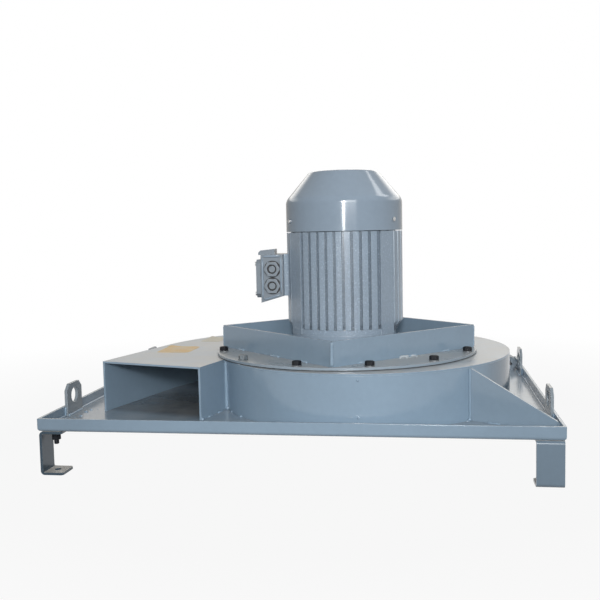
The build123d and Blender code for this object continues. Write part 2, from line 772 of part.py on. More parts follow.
blade_room = turned(
    [
        (BLADE_INNER_RADIUS, shroud_level(BLADE_INNER_RADIUS)),
        (blade_outer_radius, shroud_level(blade_outer_radius)),
        (blade_outer_radius, back_bottom),
        (BLADE_INNER_RADIUS, back_bottom),
    ],
    0,
    0,
)
save("impeller_blades", *around(blade(), BLADES, 10))

# Washer and bolt that hold the hub on the shaft's end
washer_low = hub_bottom - END_WASHER
save(
    "impeller_washer",
    ring(END_WASHER_RADIUS, END_BOLT / 2 + LOOSE, washer_low, hub_bottom, FAN_X, FAN_Y),
)
end_bolt_tip = shaft_bottom + END_BOLT_DEPTH
save("impeller_bolt", bolt_up(END_BOLT, washer_low, end_bolt_tip, FAN_X, FAN_Y))

# Bearings, one in each end shield of the motor
lower_bearing = PLATE_TOP + LOWER_BEARING_START
lower_bearing_top = lower_bearing + BEARING_WIDTH
upper_bearing = FRAME_TOP + UPPER_BEARING_START
upper_bearing_top = upper_bearing + BEARING_WIDTH


def bearing(low):
    """Inner ring, outer ring and the balls with their cage."""
    high = low + BEARING_WIDTH
    middle = (low + high) / 2
    race = Pos(0, 0, middle) * Torus(BALL_CIRCLE, BALL_RADIUS + RUNNING)
    inner = ring(BEARING_BORE + RACE_WALL, BEARING_BORE + FIT, low, high) - race
    outer = ring(BEARING_RADIUS - FIT, BEARING_RADIUS - RACE_WALL, low, high) - race
    half_sheet = CAGE_SHEET / 2
    cage = ring(
        BALL_CIRCLE + half_sheet, BALL_CIRCLE - half_sheet, low + CAGE_INSET, high - CAGE_INSET
    )
    pocket = along_x(BALL_RADIUS + LOOSE, 0, 2 * BALL_CIRCLE, 0, middle)
    cage -= [Rot(0, 0, (k + 0.5) * 360 / BALLS) * pocket for k in range(BALLS)]
    ball = Pos(BALL_CIRCLE, 0, middle) * Sphere(BALL_RADIUS)
    balls = around(ball, BALLS, 180 / BALLS)
    return fan_axis * inner, fan_axis * outer, [fan_axis * cage, *balls]


lower_inner, lower_outer, lower_balls = bearing(lower_bearing)
upper_inner, upper_outer, upper_balls = bearing(upper_bearing)
save("bearing_inner_rings", lower_inner, upper_inner)
save("bearing_outer_rings", lower_outer, upper_outer)
save("ball_set_lower", *lower_balls)
save("ball_set_upper", *upper_balls)

# Shaft, stepped for the hub, the bearings, the rotor and the cooling fan
stator_low = PLATE_TOP + STATOR_START
stator_high = stator_low + STATOR_LENGTH
rotor_seat_low = stator_low - 10
rotor_seat_high = stator_high + 10
shaft_top = upper_bearing_top + FAN_SEAT_LENGTH
shaft = turned(
    [
        (0, shaft_bottom),
        (SHAFT_END_RADIUS, shaft_bottom),
        (SHAFT_END_RADIUS, PLATE_TOP),
        (BEARING_BORE, PLATE_TOP),
        (BEARING_BORE, lower_bearing_top),
        (SHAFT_SHOULDER, lower_bearing_top),
        (SHAFT_SHOULDER, rotor_seat_low),
        (ROTOR_SEAT, rotor_seat_low),
        (ROTOR_SEAT, rotor_seat_high),
        (SHAFT_SHOULDER, rotor_seat_high),
        (SHAFT_SHOULDER, upper_bearing),
        (BEARING_BORE, upper_bearing),
        (BEARING_BORE, upper_bearing_top),
        (FAN_SEAT, upper_bearing_top),
        (FAN_SEAT, shaft_top),
        (0, shaft_top),
    ]
)
shaft -= cylinder(END_BOLT / 2 + FIT, shaft_bottom - 1, end_bolt_tip + 4, FAN_X, FAN_Y)
shaft -= fan_axis * block(
    key_inner, SHAFT_END_RADIUS + 1, -key_half, key_half, key_low, key_high
)
save("motor_shaft", shaft)

# Rotor and stator
rotor_radius = STATOR_BORE - AIR_GAP
save(
    "rotor_core",
    ring(rotor_radius, ROTOR_SEAT + FIT, stator_low, stator_high, FAN_X, FAN_Y),
)
save("stator_core", ring(FRAME_BORE - FIT, STATOR_BORE, stator_low, stator_high, FAN_X, FAN_Y))
end_rings = []
windings = []
for core_end, outwards in ((stator_low, -1), (stator_high, 1)):
    ring_end = core_end + outwards * END_RING_HEIGHT
    low, high = sorted((core_end, ring_end))
    end_rings.append(ring(rotor_radius - 2, END_RING_BORE, low, high, FAN_X, FAN_Y))
    winding_end = core_end + outwards * WINDING_OVERHANG
    low, high = sorted((core_end, winding_end))
    windings.append(ring(FRAME_BORE - WINDING_ROOM, STATOR_BORE + 5, low, high, FAN_X, FAN_Y))
save("rotor_end_rings", *end_rings)
save("stator_windings", *windings)

# Motor frame: a cast tube with straight shallow flutes between broad fins on four sides,
# a flat pad at each corner and a plain band round the lower end
flute_floor = FIN_TIP_RADIUS - FIN_DEPTH
frame = ring(flute_floor, FRAME_BORE, FRAME_BOTTOM, FRAME_TOP)
fin_low = FRAME_BOTTOM + FIN_START
fin_room = cylinder(FIN_TIP_RADIUS, fin_low, FRAME_TOP)
fin_half = (FIN_PITCH - FIN_GROOVE) / 2
fins = []
for count, quarter_turns in ((FRONT_FINS, (0, 180)), (SIDE_FINS, (90, 270))):
    for quarter in quarter_turns:
        for k in range(count):
            middle = (k - (count - 1) / 2) * FIN_PITCH
            fin = block(
                middle - fin_half,
                middle + fin_half,
                -FIN_TIP_RADIUS - 1,
                -FRAME_BORE / 2,
                fin_low,
                FRAME_TOP,
            )
            fins.append(Rot(0, 0, quarter) * fin & fin_room)
frame += fins
frame += ring(FIN_TIP_RADIUS - BAND_INSET, FRAME_BORE, FRAME_BOTTOM, fin_low)

# A deeper pocket at the foot of each flute on the front and the back
pocket_ring = ring(
    FIN_TIP_RADIUS + 1, FIN_TIP_RADIUS - FIN_POCKET_DEPTH, fin_low, fin_low + FIN_POCKET_HEIGHT
)
pockets = []
for k in range(FRONT_FINS + 1):
    middle = (k - FRONT_FINS / 2) * FIN_PITCH
    across = block(
        middle - FIN_GROOVE / 2,
        middle + FIN_GROOVE / 2,
        -FIN_TIP_RADIUS - 1,
        FIN_TIP_RADIUS + 1,
        fin_low - 1,
        fin_low + FIN_POCKET_HEIGHT + 1,
    )
    pockets.append(across & pocket_ring)
frame -= pockets

pad_outline = [
    polar(FIN_TIP_RADIUS, PAD_END, 0, 0),
    polar(FIN_TIP_RADIUS, PAD_START, 0, 0),
    polar(FRAME_BORE + 1, PAD_START + PAD_TAPER, 0, 0),
    polar(FRAME_BORE + 1, PAD_END - PAD_TAPER, 0, 0),
]
screw_x, screw_y = polar(SHIELD_SCREW_CIRCLE, SHIELD_SCREW_ANGLE, 0, 0)
shield_screw_points = [(i * screw_x, j * screw_y) for i, j in FOUR_CORNERS]
for i, j in FOUR_CORNERS:
    frame += slab([(i * x, j * y) for x, y in pad_outline], FRAME_BOTTOM, FRAME_TOP)
frame -= cylinder(FRAME_BORE, FRAME_BOTTOM - 1, FRAME_TOP + 1)

# Between the pads on both sides the lower end is bevelled
bevel = turned(
    [
        (FIN_TIP_RADIUS - FIN_BEVEL, FRAME_BOTTOM),
        (FIN_TIP_RADIUS, FRAME_BOTTOM + FIN_BEVEL_HEIGHT),
        (FIN_TIP_RADIUS + 2, FRAME_BOTTOM + FIN_BEVEL_HEIGHT),
        (FIN_TIP_RADIUS + 2, FRAME_BOTTOM),
    ],
    0,
    0,
)
side_y = polar(FIN_TIP_RADIUS, PAD_START, 0, 0)[1]
side_x = FIN_TIP_RADIUS + 3
bevel_top = FRAME_BOTTOM + FIN_BEVEL_HEIGHT
frame -= bevel & block(-side_x, side_x, -side_y, side_y, FRAME_BOTTOM - 1, bevel_top + 1)

screw_hole = SHIELD_SCREW_DEPTH + 6
for x, y in shield_screw_points:
    tapped = SHIELD_SCREW / 2 + FIT
    frame -= cylinder(tapped, FRAME_BOTTOM - 1, FRAME_BOTTOM + screw_hole, x, y)
    frame -= cylinder(tapped, FRAME_TOP - screw_hole, FRAME_TOP + 1, x, y)

# Seat for the terminal box on the frame's left side, with a way through for the wires
box_inner = -FIN_TIP_RADIUS - BOX_FROM_FINS
box_outer = box_inner - BOX_LENGTH
box_top = PLATE_TOP + BOX_TOP
box_low_inner = PLATE_TOP + BOX_LOW_INNER
box_low_outer = PLATE_TOP + BOX_LOW_OUTER
seat = block(
    box_inner, -FRAME_BORE - 1, -NECK_HALF_DEPTH, NECK_HALF_DEPTH, box_low_inner, box_top
)
seat -= cylinder(FRAME_BORE, box_low_inner - 1, box_top + 1)
wire_way = block(
    box_inner - BOX_WALL - 1,
    -FRAME_BORE + WIRE_WAY_DEPTH,
    -WIRE_WAY,
    WIRE_WAY,
    box_low_inner + 2 * WIRE_WAY,
    box_top - 2 * WIRE_WAY,
)
frame = frame + seat - wire_way
save("motor_frame", fan_axis * frame)

# Lower end shield, with the motor's flange and the spigot that centres it
flange_top = PLATE_TOP + MOTOR_FLANGE
collar = FRAME_BORE + FRAME_WALL + SHIELD_LIP
register = FRAME_BORE - FIT
register_in = register - REGISTER_WALL
housing = BEARING_RADIUS + HOUSING_WALL
web_top = flange_top + 2
lower_shield = turned(
    [
        (SEAL_RADIUS, PLATE_TOP - SPIGOT),
        (SPIGOT_RADIUS, PLATE_TOP - SPIGOT),
        (SPIGOT_RADIUS, PLATE_TOP),
        (MOTOR_FLANGE_RADIUS, PLATE_TOP),
        (MOTOR_FLANGE_RADIUS, flange_top),
        (collar + 10, flange_top + 2),
        (collar, flange_top + 12),
        (collar, FRAME_BOTTOM),
        (register, FRAME_BOTTOM),
        (register, FRAME_BOTTOM + REGISTER),
        (register_in, FRAME_BOTTOM + REGISTER),
        (register_in, flange_top + 8),
        (housing + 13, web_top),
        (housing, web_top),
        (housing, lower_bearing_top + 1),
        (BEARING_RADIUS, lower_bearing_top + 1),
        (BEARING_RADIUS, lower_bearing),
        (SEAL_RADIUS, lower_bearing),
    ]
)

# On the front and the back a skirt carries the frame's band on, level with it
skirt_low = FRAME_BOTTOM - SHIELD_SKIRT
skirt = ring(FIN_TIP_RADIUS - BAND_INSET, collar - 1, skirt_low, FRAME_BOTTOM)
skirt -= block(-side_x, side_x, -side_y, side_y, skirt_low - 1, FRAME_BOTTOM + 1)
lower_shield += fan_axis * skirt
ear_low = FRAME_BOTTOM - SHIELD_EAR_HEIGHT
clear_hole = SHIELD_SCREW / 2 + BOLT_ROOM
shield_screws = []
for local_x, local_y in shield_screw_points:
    x, y = FAN_X + local_x, FAN_Y + local_y
    lower_shield += cylinder(SHIELD_EAR, ear_low, FRAME_BOTTOM, x, y)
    lower_shield -= cylinder(clear_hole, ear_low - 1, FRAME_BOTTOM + 1, x, y)
    lower_shield -= cylinder(SHIELD_SCREW, flange_top, ear_low, x, y)
    outwards = 1 + SHIELD_SCREW_WAY / SHIELD_SCREW_CIRCLE
    way_x, way_y = FAN_X + outwards * local_x, FAN_Y + outwards * local_y
    lower_shield -= cylinder(SHIELD_SCREW + 1, skirt_low - 1, ear_low, way_x, way_y)
    tip = FRAME_BOTTOM + SHIELD_SCREW_DEPTH
    shield_screws.append(bolt_up(SHIELD_SCREW, ear_low, tip, x, y))
flange_bolts = []
flange_nuts = []
for x, y in flange_bolt_points:
    lower_shield -= cylinder(flange_hole, PLATE_TOP - 1, flange_top + 1, x, y)
    lower_shield -= cylinder(FLANGE_BOLT + 1, flange_top, flange_top + FLANGE_BOLT, x, y)
    flange_bolts.append(bolt_down(FLANGE_BOLT, flange_top, PLATE_BOTTOM - FLANGE_BOLT_TAIL, x, y))
    flange_nuts.append(nut(FLANGE_BOLT, PLATE_BOTTOM - HEX_NUT * FLANGE_BOLT, x, y))
save("drive_end_shield", lower_shield)
save("flange_bolts", *flange_bolts)
save("flange_nuts", *flange_nuts)
seal_outer = SEAL_RADIUS - FIT
seal_inner = BEARING_BORE + RUNNING
save(
    "shaft_seal",
    ring(seal_outer, seal_inner, PLATE_TOP, PLATE_TOP + SEAL_WIDTH, FAN_X, FAN_Y),
)

# Upper end shield, with the bosses that the cowl is screwed to
shield_top = FRAME_TOP + UPPER_SHIELD
housing_top = upper_bearing_top + SPRING_HEIGHT
upper_shield = turned(
    [
        (BEARING_BORE + 5, housing_top),
        (BEARING_BORE + 5, housing_top + 4),
        (housing, housing_top + 4),
        (housing + 3, shield_top),
        (collar, shield_top),
        (collar, FRAME_TOP),
        (register, FRAME_TOP),
        (register, FRAME_TOP - REGISTER),
        (register_in, FRAME_TOP - REGISTER),
        (register_in, FRAME_TOP + 2),
        (housing + 1, FRAME_TOP + 2),
        (housing + 1, upper_bearing - 2),
        (BEARING_RADIUS, upper_bearing - 2),
        (BEARING_RADIUS, housing_top),
    ]
)
for local_x, local_y in shield_screw_points:
    x, y = FAN_X + local_x, FAN_Y + local_y
    upper_shield += cylinder(SHIELD_EAR, FRAME_TOP, shield_top, x, y)
    upper_shield -= cylinder(clear_hole, FRAME_TOP - 1, shield_top + 1, x, y)
    tip = FRAME_TOP - SHIELD_SCREW_DEPTH
    shield_screws.append(bolt_down(SHIELD_SCREW, shield_top, tip, x, y))
save("shield_screws", *shield_screws)

cowl_radius = FIN_TIP_RADIUS + COWL_OVER_FINS
cowl_inside = cowl_radius - COWL_SHEET
cowl_bottom = FRAME_TOP + COWL_GAP
cowl_screw_z = cowl_bottom + COWL_SCREW_HEIGHT
boss_half = COWL_BOSS_WIDTH / 2
boss_top = cowl_screw_z + boss_half
boss = block(collar - 4, cowl_inside - 3, -boss_half, boss_half, FRAME_TOP, boss_top)
boss += block(
    cowl_inside - 5,
    cowl_inside - LOOSE,
    -boss_half,
    boss_half,
    cowl_screw_z - boss_half,
    boss_top,
)
boss -= along_x(COWL_SCREW / 2 + FIT, cowl_inside - 18, cowl_radius, 0, cowl_screw_z)
upper_shield += [fan_axis * Rot(0, 0, angle) * boss for angle in COWL_SCREW_ANGLES]
save("upper_end_shield", upper_shield)
save(
    "bearing_spring",
    ring(
        BEARING_RADIUS - 1,
        BEARING_RADIUS - RACE_WALL + 0.5,
        upper_bearing_top,
        upper_bearing_top + SPRING_HEIGHT,
        FAN_X,
        FAN_Y,
    ),
)

# Cooling fan: a disc with straight radial blades on the shaft's upper end
fan_low = upper_bearing_top + COOLING_START
disc_top = fan_low + COOLING_SHEET
hub_bore = COOLING_HUB_RADIUS - 1
fan_blade = block(
    hub_bore,
    COOLING_RADIUS,
    -COOLING_SHEET / 3,
    COOLING_SHEET / 3,
    disc_top,
    disc_top + COOLING_BLADE_HEIGHT,
)
cooling_fan = ring(
    COOLING_HUB_RADIUS, FAN_SEAT + FIT, fan_low, fan_low + COOLING_HUB_HEIGHT
)
cooling_fan += ring(COOLING_RADIUS, hub_bore, fan_low, disc_top)
cooling_fan += [
    Rot(0, 0, k * 360 / COOLING_BLADES) * fan_blade for k in range(COOLING_BLADES)
]
save("cooling_fan", fan_axis * cooling_fan)

# Cowl: a straight skirt, a round shoulder, a cone and a round-edged top with air slots
skirt_top = cowl_bottom + COWL_SKIRT
cowl_top = skirt_top + COWL_CONE
cone_lean = atan((cowl_radius - COWL_TOP_RADIUS) / COWL_CONE)


def cowl_form(inset, low):
    """The cowl's solid form, made smaller all round by the inset."""
    side = cowl_radius - inset
    form = turned(
        [
            (0, low),
            (side, low),
            (side, skirt_top - inset * tan(cone_lean / 2)),
            (COWL_TOP_RADIUS - inset * tan((pi / 2 - cone_lean) / 2), cowl_top - inset),
            (0, cowl_top - inset),
        ]
    )
    shoulder = form.edges().filter_by(GeomType.CIRCLE).sort_by(Axis.Z)[-2]
    form = fillet(shoulder, COWL_SHOULDER_ROUND - inset)
    top_edge = form.edges().filter_by(GeomType.CIRCLE).sort_by(Axis.Z)[-1]
    return fillet(top_edge, COWL_TOP_ROUND - inset)


cowl = cowl_form(0, cowl_bottom) - cowl_form(COWL_SHEET, cowl_bottom - 5)
slot = block(
    COWL_TOP_RADIUS / 4,
    COWL_TOP_RADIUS - COWL_TOP_ROUND - 5,
    -COWL_SLOT_WIDTH / 2,
    COWL_SLOT_WIDTH / 2,
    cowl_top - 5,
    cowl_top + 5,
)
cowl -= around(slot, COWL_SLOTS)
cowl_screws = []
head_seat = cowl_radius + LOOSE
for angle in COWL_SCREW_ANGLES:
    turn = fan_axis * Rot(0, 0, angle)
    cowl -= turn * along_x(
        COWL_SCREW / 2 + LOOSE, cowl_inside - 3, cowl_radius + 3, 0, cowl_screw_z
    )
    head = along_x(0.9 * COWL_SCREW, head_seat, head_seat + 3, 0, cowl_screw_z)
    shank = along_x(COWL_SCREW / 2, cowl_inside - 11, head_seat, 0, cowl_screw_z)
    cowl_screws.append(turn * (head + shank))
save("fan_cowl", cowl)
save("cowl_screws", *cowl_screws)

# Terminal box: open towards its lid, with a raised pad on top that juts over the lid
box_body = side_slab(
    [
        (box_inner, box_low_inner),
        (box_inner, box_top),
        (box_outer, box_top),
        (box_outer, box_low_outer),
    ],
    -BOX_HALF_DEPTH,
    BOX_HALF_DEPTH,
)
pad_far = box_outer - TOP_PAD_OVERHANG
pad_near = pad_far + TOP_PAD_LENGTH
pad_front = TOP_PAD_FROM_FRONT - BOX_HALF_DEPTH
box_body += side_slab(
    [
        (pad_near, box_top - 1),
        (pad_near, box_top + TOP_PAD_HIGH),
        (pad_far + TOP_PAD_CORNER, box_top + TOP_PAD_LOW),
        (pad_far, box_top + TOP_PAD_LOW - TOP_PAD_CORNER),
        (pad_far, box_top - 1),
    ],
    pad_front,
    pad_front + TOP_PAD_WIDTH,
)
box_room = side_slab(
    [
        (box_inner - BOX_WALL, box_low_inner + BOX_WALL),
        (box_inner - BOX_WALL, box_top - BOX_WALL),
        (box_outer - 1, box_top - BOX_WALL),
        (box_outer - 1, box_low_outer + BOX_WALL + 1),
    ],
    -BOX_HALF_DEPTH + BOX_WALL,
    BOX_HALF_DEPTH - BOX_WALL,
)
box_body = box_body - box_room - wire_way
gland_turn = Rot(90, 0, 0)
gland_places = [
    Pos(box_inner - GLAND_FROM_SEAT, -BOX_HALF_DEPTH, PLATE_TOP + height) * gland_turn
    for height in GLAND_HEIGHTS
]
for place in gland_places:
    box_body -= place * Cylinder(GLAND_THREAD + FIT, 6 * BOX_WALL)

lid_low = box_low_outer + LID_MARGIN
lid_high = box_top - LID_MARGIN
lid_half = BOX_HALF_DEPTH - 2
lid_screw_spots = [
    (side * (lid_half - LID_SCREW_EDGE), z)
    for side in (-1, 1)
    for z in (lid_low + LID_SCREW_EDGE, lid_high - LID_SCREW_EDGE)
]
post_half = LID_POST / 2
post_wall = BOX_HALF_DEPTH - 1
for y, z in lid_screw_spots:
    outwards = 1 if y > 0 else -1
    box_body += block(
        box_outer,
        box_outer + LID_POST_LENGTH,
        outwards * post_wall,
        y - outwards * post_half,
        z - post_half,
        z + post_half,
    )
    box_body -= along_x(LID_SCREW / 2 + FIT, box_outer - 1, box_outer + LID_POST_LENGTH + 1, y, z)
save("terminal_box", fan_axis * box_body)


def lid_plate(near, thickness, margin):
    """Plate with cut corners, standing out from the box's open side."""
    y, low, high = lid_half - margin, lid_low + margin, lid_high - margin
    corners = [
        (-y + LID_CORNER, low),
        (y - LID_CORNER, low),
        (y, low + LID_CORNER),
        (y, high - LID_CORNER),
        (y - LID_CORNER, high),
        (-y + LID_CORNER, high),
        (-y, high - LID_CORNER),
        (-y, low + LID_CORNER),
    ]
    outline = make_face(Polyline(*[(near, a, b) for a, b in corners], close=True))
    plate = extrude(outline, amount=thickness, dir=(-1, 0, 0))
    for a, b in lid_screw_spots:
        plate -= along_x(LID_SCREW / 2 + BOLT_ROOM, near - thickness - 1, near + 1, a, b)
    return plate


lid_near = box_outer - BOX_GASKET
lid_far = lid_near - LID
save("terminal_box_gasket", fan_axis * lid_plate(box_outer, BOX_GASKET, 1))
save("terminal_box_lid", fan_axis * lid_plate(lid_near, LID, 0))
lid_screws = []
for y, z in lid_screw_spots:
    head = along_x(0.9 * LID_SCREW, lid_far - 3.2, lid_far, y, z)
    shank = along_x(LID_SCREW / 2, lid_far, lid_far + LID_SCREW_LENGTH, y, z)
    lid_screws.append(fan_axis * (head + shank))
save("lid_screws", *lid_screws)

# Cable glands in the box's front, each closed with a plug whose head stands in a dip
glands = []
plugs = []
for place in gland_places:
    gland = hexagon(GLAND_ACROSS, 0, GLAND_HEX) + cylinder(GLAND_THREAD, -2 * BOX_WALL, 0)
    gland -= cylinder(GLAND_BORE, -2 * BOX_WALL - 1, GLAND_HEX + 1)
    plug = cylinder(GLAND_BORE - FIT, -2 * BOX_WALL, 0)
    plug += cylinder(PLUG_HEAD, 0, GLAND_HEX - PLUG_RECESS)
    glands.append(fan_axis * place * gland)
    plugs.append(fan_axis * place * plug)
save("cable_glands", *glands)
save("blanking_plugs", *plugs)

# Terminal block with its studs
block_middle = (box_low_inner + box_top) / 2
block_near = box_inner - BOX_WALL
block_far = block_near - TERMINAL_DEPTH
terminal_block = block(
    block_far,
    block_near,
    -TERMINAL_HALF_WIDTH,
    TERMINAL_HALF_WIDTH,
    block_middle - TERMINAL_HALF_HEIGHT,
    block_middle + TERMINAL_HALF_HEIGHT,
)
studs = []
for y in STUD_COLUMNS:
    for row in STUD_ROWS:
        z = block_middle + row
        terminal_block -= along_x(STUD / 2 + FIT, block_far - 1, block_near + 1, y, z)
        stud = along_x(STUD / 2, block_far - 10, block_near, y, z)
        collar_nut = along_x(STUD, block_far - 4, block_far, y, z)
        studs.append(fan_axis * (stud + collar_nut))
save("terminal_block", fan_axis * terminal_block)
save("terminal_studs", *studs)
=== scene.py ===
import bpy
import numpy as np
from math import cos, pi, radians, sin
from mathutils import Matrix


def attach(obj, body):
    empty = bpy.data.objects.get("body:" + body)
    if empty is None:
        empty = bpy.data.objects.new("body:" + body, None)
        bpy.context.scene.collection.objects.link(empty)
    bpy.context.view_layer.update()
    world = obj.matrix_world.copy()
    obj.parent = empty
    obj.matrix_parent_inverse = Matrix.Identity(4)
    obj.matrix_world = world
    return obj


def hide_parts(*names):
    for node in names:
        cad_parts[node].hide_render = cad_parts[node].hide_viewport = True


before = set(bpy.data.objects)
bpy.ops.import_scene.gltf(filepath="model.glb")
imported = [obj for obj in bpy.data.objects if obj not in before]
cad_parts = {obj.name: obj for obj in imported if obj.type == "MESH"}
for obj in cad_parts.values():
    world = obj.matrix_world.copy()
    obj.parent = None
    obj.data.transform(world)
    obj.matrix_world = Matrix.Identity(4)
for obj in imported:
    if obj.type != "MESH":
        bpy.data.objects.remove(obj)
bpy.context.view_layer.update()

# Camera: it stands in front of the tray, a little to the right of its middle, at
# about the height of the motor's cowl, and looks slightly down and to the left.
mm = 0.001
camera_place = np.array((254.994, -1885.945, 466.051)) * mm
yaw, pitch, roll = 0.153811, 0.0826537, -0.0205616
ahead = np.array((-sin(yaw) * cos(pitch), cos(yaw) * cos(pitch), -sin(pitch)))
level = np.array((cos(yaw), sin(yaw), 0.0))
upright = np.cross(level, ahead)
camera_right = cos(roll) * level + sin(roll) * upright
camera_up = cos(roll) * upright - sin(roll) * level
camera_axes = np.eye(4)
camera_axes[:3, :] = np.stack((camera_right, camera_up, -ahead, camera_place), axis=1)
camera_data = bpy.data.cameras.new("photo_camera")
camera_data.lens = 48.958
camera_data.sensor_width = 36
camera_data.clip_end = 60
camera = bpy.data.objects.new("photo_camera", camera_data)
camera.matrix_world = Matrix(camera_axes.tolist())
bpy.context.scene.collection.objects.link(camera)
bpy.context.scene.camera = camera
bpy.context.scene.view_settings.view_transform = "Standard"


# Floor: a plain pale studio floor under the four feet.  It keeps the fan's soft
# shadow and fades into the white background with distance from the fan.
def set_inputs(node, joins):
    """Gives a node's inputs numbers, colours or other nodes' outputs."""
    for label, value in joins.items():
        if isinstance(value, bpy.types.NodeSocket):
            node.id_data.links.new(value, node.inputs[label])
        else:
            node.inputs[label].default_value = value
    return node


def put(tree, kind, joins=None, **settings):
    """Adds a node with its settings and its inputs."""
    node = tree.nodes.new("ShaderNode" + kind)
    for label, value in settings.items():
        setattr(node, label, value)
    return set_inputs(node, joins or {})


def worked(tree, operation, *terms, clamp=False):
    """Result of one sum on numbers or outputs."""
    joins = dict(enumerate(terms))
    return put(tree, "Math", joins, operation=operation, use_clamp=clamp).outputs[0]


def ranged(tree, value, low, high, to_low=0.0, to_high=1.0):
    """A value carried from one range to another and held inside it."""
    joins = {"Value": value, "From Min": low, "From Max": high, "To Min": to_low}
    return put(tree, "MapRange", {**joins, "To Max": to_high}).outputs[0]


def product(tree, first, second):
    """Two numbers or outputs multiplied."""
    return worked(tree, "MULTIPLY", first, second)


def noise(tree, place, scale, detail):
    """Noise from 0 to 1, its scale in waves to the metre."""
    joins = {"Vector": place, "Scale": scale, "Detail": detail}
    return put(tree, "TexNoise", joins).outputs[0]


def mixed_colour(tree, amount, first, second):
    """Two colours mixed by an amount from 0 to 1."""
    joins = {0: amount, 6: first, 7: second}
    return put(tree, "Mix", joins, data_type="RGBA").outputs[2]


def new_tree(name):
    """Material with nothing in it but its output node."""
    material = bpy.data.materials.new(name)
    material.use_nodes = True
    material.node_tree.nodes.clear()
    return material, material.node_tree, put(material.node_tree, "OutputMaterial")


def mesh_object(name, points, face_sets, smooth_below=180.0):
    """Object at the origin from points in metres and arrays of faces."""
    mesh = bpy.data.meshes.new(name)
    rows = [face for faces in face_sets for face in faces.tolist()]
    mesh.from_pydata(points.tolist(), [], rows)
    mesh.shade_smooth()
    if smooth_below < 180.0:
        mesh.set_sharp_from_angle(angle=radians(smooth_below))
    made = bpy.data.objects.new(name, mesh)
    bpy.context.scene.collection.objects.link(made)
    return made


def surface_mesh(name, grids, smooth_below=180.0):
    """Object from grids of points, each round its first index and closed at its two ends.

    A grid has the shape (round, along, 3).  Neighbouring points make four-sided
    faces, the round direction joins up with itself, and each end is closed by one
    point at the middle of its ring.  Edges flatter than the given angle are smooth.
    """
    points, faces, used = [], [], 0
    for grid in grids:
        count, rows = grid.shape[:2]
        poles = np.stack((grid[:, 0].mean(axis=0), grid[:, -1].mean(axis=0)))
        points.append(np.concatenate((grid.reshape(-1, 3), poles)))
        first, row = np.meshgrid(np.arange(count), np.arange(rows - 1), indexing="ij")
        near, far = first * rows + row, (first + 1) % count * rows + row
        quads = np.stack((near, far, far + 1, near + 1), axis=-1).reshape(-1, 4)
        start = np.arange(count) * rows
        after = np.roll(start, -1)
        bottom = np.stack((after, start, np.full(count, count * rows)), axis=-1)
        top = np.stack((start, after, np.full(count, count * rows + 1)), axis=-1)
        top[:, :2] += rows - 1
        faces += [quads + used, bottom + used, top + used]
        used += count * rows + 2
    return mesh_object(name, np.concatenate(points), faces, smooth_below)


floor_radius, floor_drop = 9.0, 0.5 * mm


def floor_disc():
    """Flat disc: rings of points whose radius grows with the square of their number."""
    turn, out = np.meshgrid(np.arange(96) * 2 * pi / 96, np.linspace(1, 0.02, 24), indexing="ij")
    reach = floor_radius * out**2
    x, y = reach * np.cos(turn), reach * np.sin(turn)
    return np.stack((x, y, 0 * reach - floor_drop), axis=-1)


floor = surface_mesh("studio_floor", [floor_disc()])
shadow_reach, white_reach, white_near = 0.75, 1.9, 0.93
floor_paint, tree, output = new_tree("studio_floor_paint")
place = put(tree, "TexCoord").outputs["Object"]
from_fan = put(tree, "VectorMath", {0: place}, operation="LENGTH").outputs["Value"]
speckle = noise(tree, place, 220.0, 3.0)
board = put(tree, "BsdfDiffuse", {"Color": ranged(tree, speckle, 0.0, 1.0, 0.44, 0.48)})
white = put(tree, "Emission", {"Color": (1, 1, 1, 1), "Strength": 1.0})
seen = put(tree, "LightPath")
shown = worked(tree, "ADD", seen.outputs["Is Camera Ray"], seen.outputs["Is Glossy Ray"])
shown = worked(tree, "ADD", shown, seen.outputs["Is Transmission Ray"], clamp=True)
whiteness = ranged(tree, from_fan, shadow_reach, white_reach, white_near, 1.0)
share = product(tree, shown, whiteness)
mixed = put(tree, "MixShader", {0: share, 1: board.outputs[0], 2: white.outputs[0]})
tree.links.new(mixed.outputs[0], output.inputs["Surface"])
floor.data.materials.append(floor_paint)

# Light: a broad soft lamp at the front right, a small flash above the camera over a dim
# strip that shows in the cowl, and a weak lamp high at the right.  The white room is
# brighter behind, where reflections also show a window's warm light above its sill.
world = bpy.data.worlds.new("white_room")
bpy.context.scene.world = world
world.use_nodes = True
tree = world.node_tree
tree.nodes.clear()
seen = put(tree, "LightPath")
shown = worked(tree, "ADD", seen.outputs["Is Camera Ray"], seen.outputs["Is Transmission Ray"])
facing = put(tree, "SeparateXYZ", {0: put(tree, "TexCoord").outputs["Generated"]}).outputs
behind = ranged(tree, facing["Y"], -0.7, 0.25, 0.45, 0.78)
gloss_level = product(tree, behind, ranged(tree, facing["X"], -0.8, 0.3, 0.65, 1.0))
gloss_level = product(tree, gloss_level, ranged(tree, facing["X"], 0.35, 0.6, 1.0, 0.8))
sill = ranged(tree, facing["X"], -0.12, 0.12, 0.235, 0.18)
window = ranged(tree, facing["Z"], sill, worked(tree, "ADD", sill, 0.04))
window_light, back_light, right_shade = 1.9, 1.25, 0.22
window = product(tree, window, ranged(tree, facing["Z"], 0.55, 0.4, 0.0, window_light))
window = product(tree, window, ranged(tree, facing["Y"], 0.1, 0.5))
gloss_level = worked(tree, "ADD", gloss_level, window)
low_right = product(tree, ranged(tree, facing["X"], 0.2, 0.9),
                    ranged(tree, facing["Z"], 0.6, 0.1))
dull_level = worked(tree, "SUBTRACT", ranged(tree, facing["X"], -0.9, 0.1, 0.32, 0.4),
                    product(tree, low_right, right_shade))
low_back = product(tree, ranged(tree, facing["Y"], 0.25, 0.75),
                   ranged(tree, facing["Z"], 0.55, 0.35))
dull_level = worked(tree, "ADD", dull_level, product(tree, low_back, back_light))
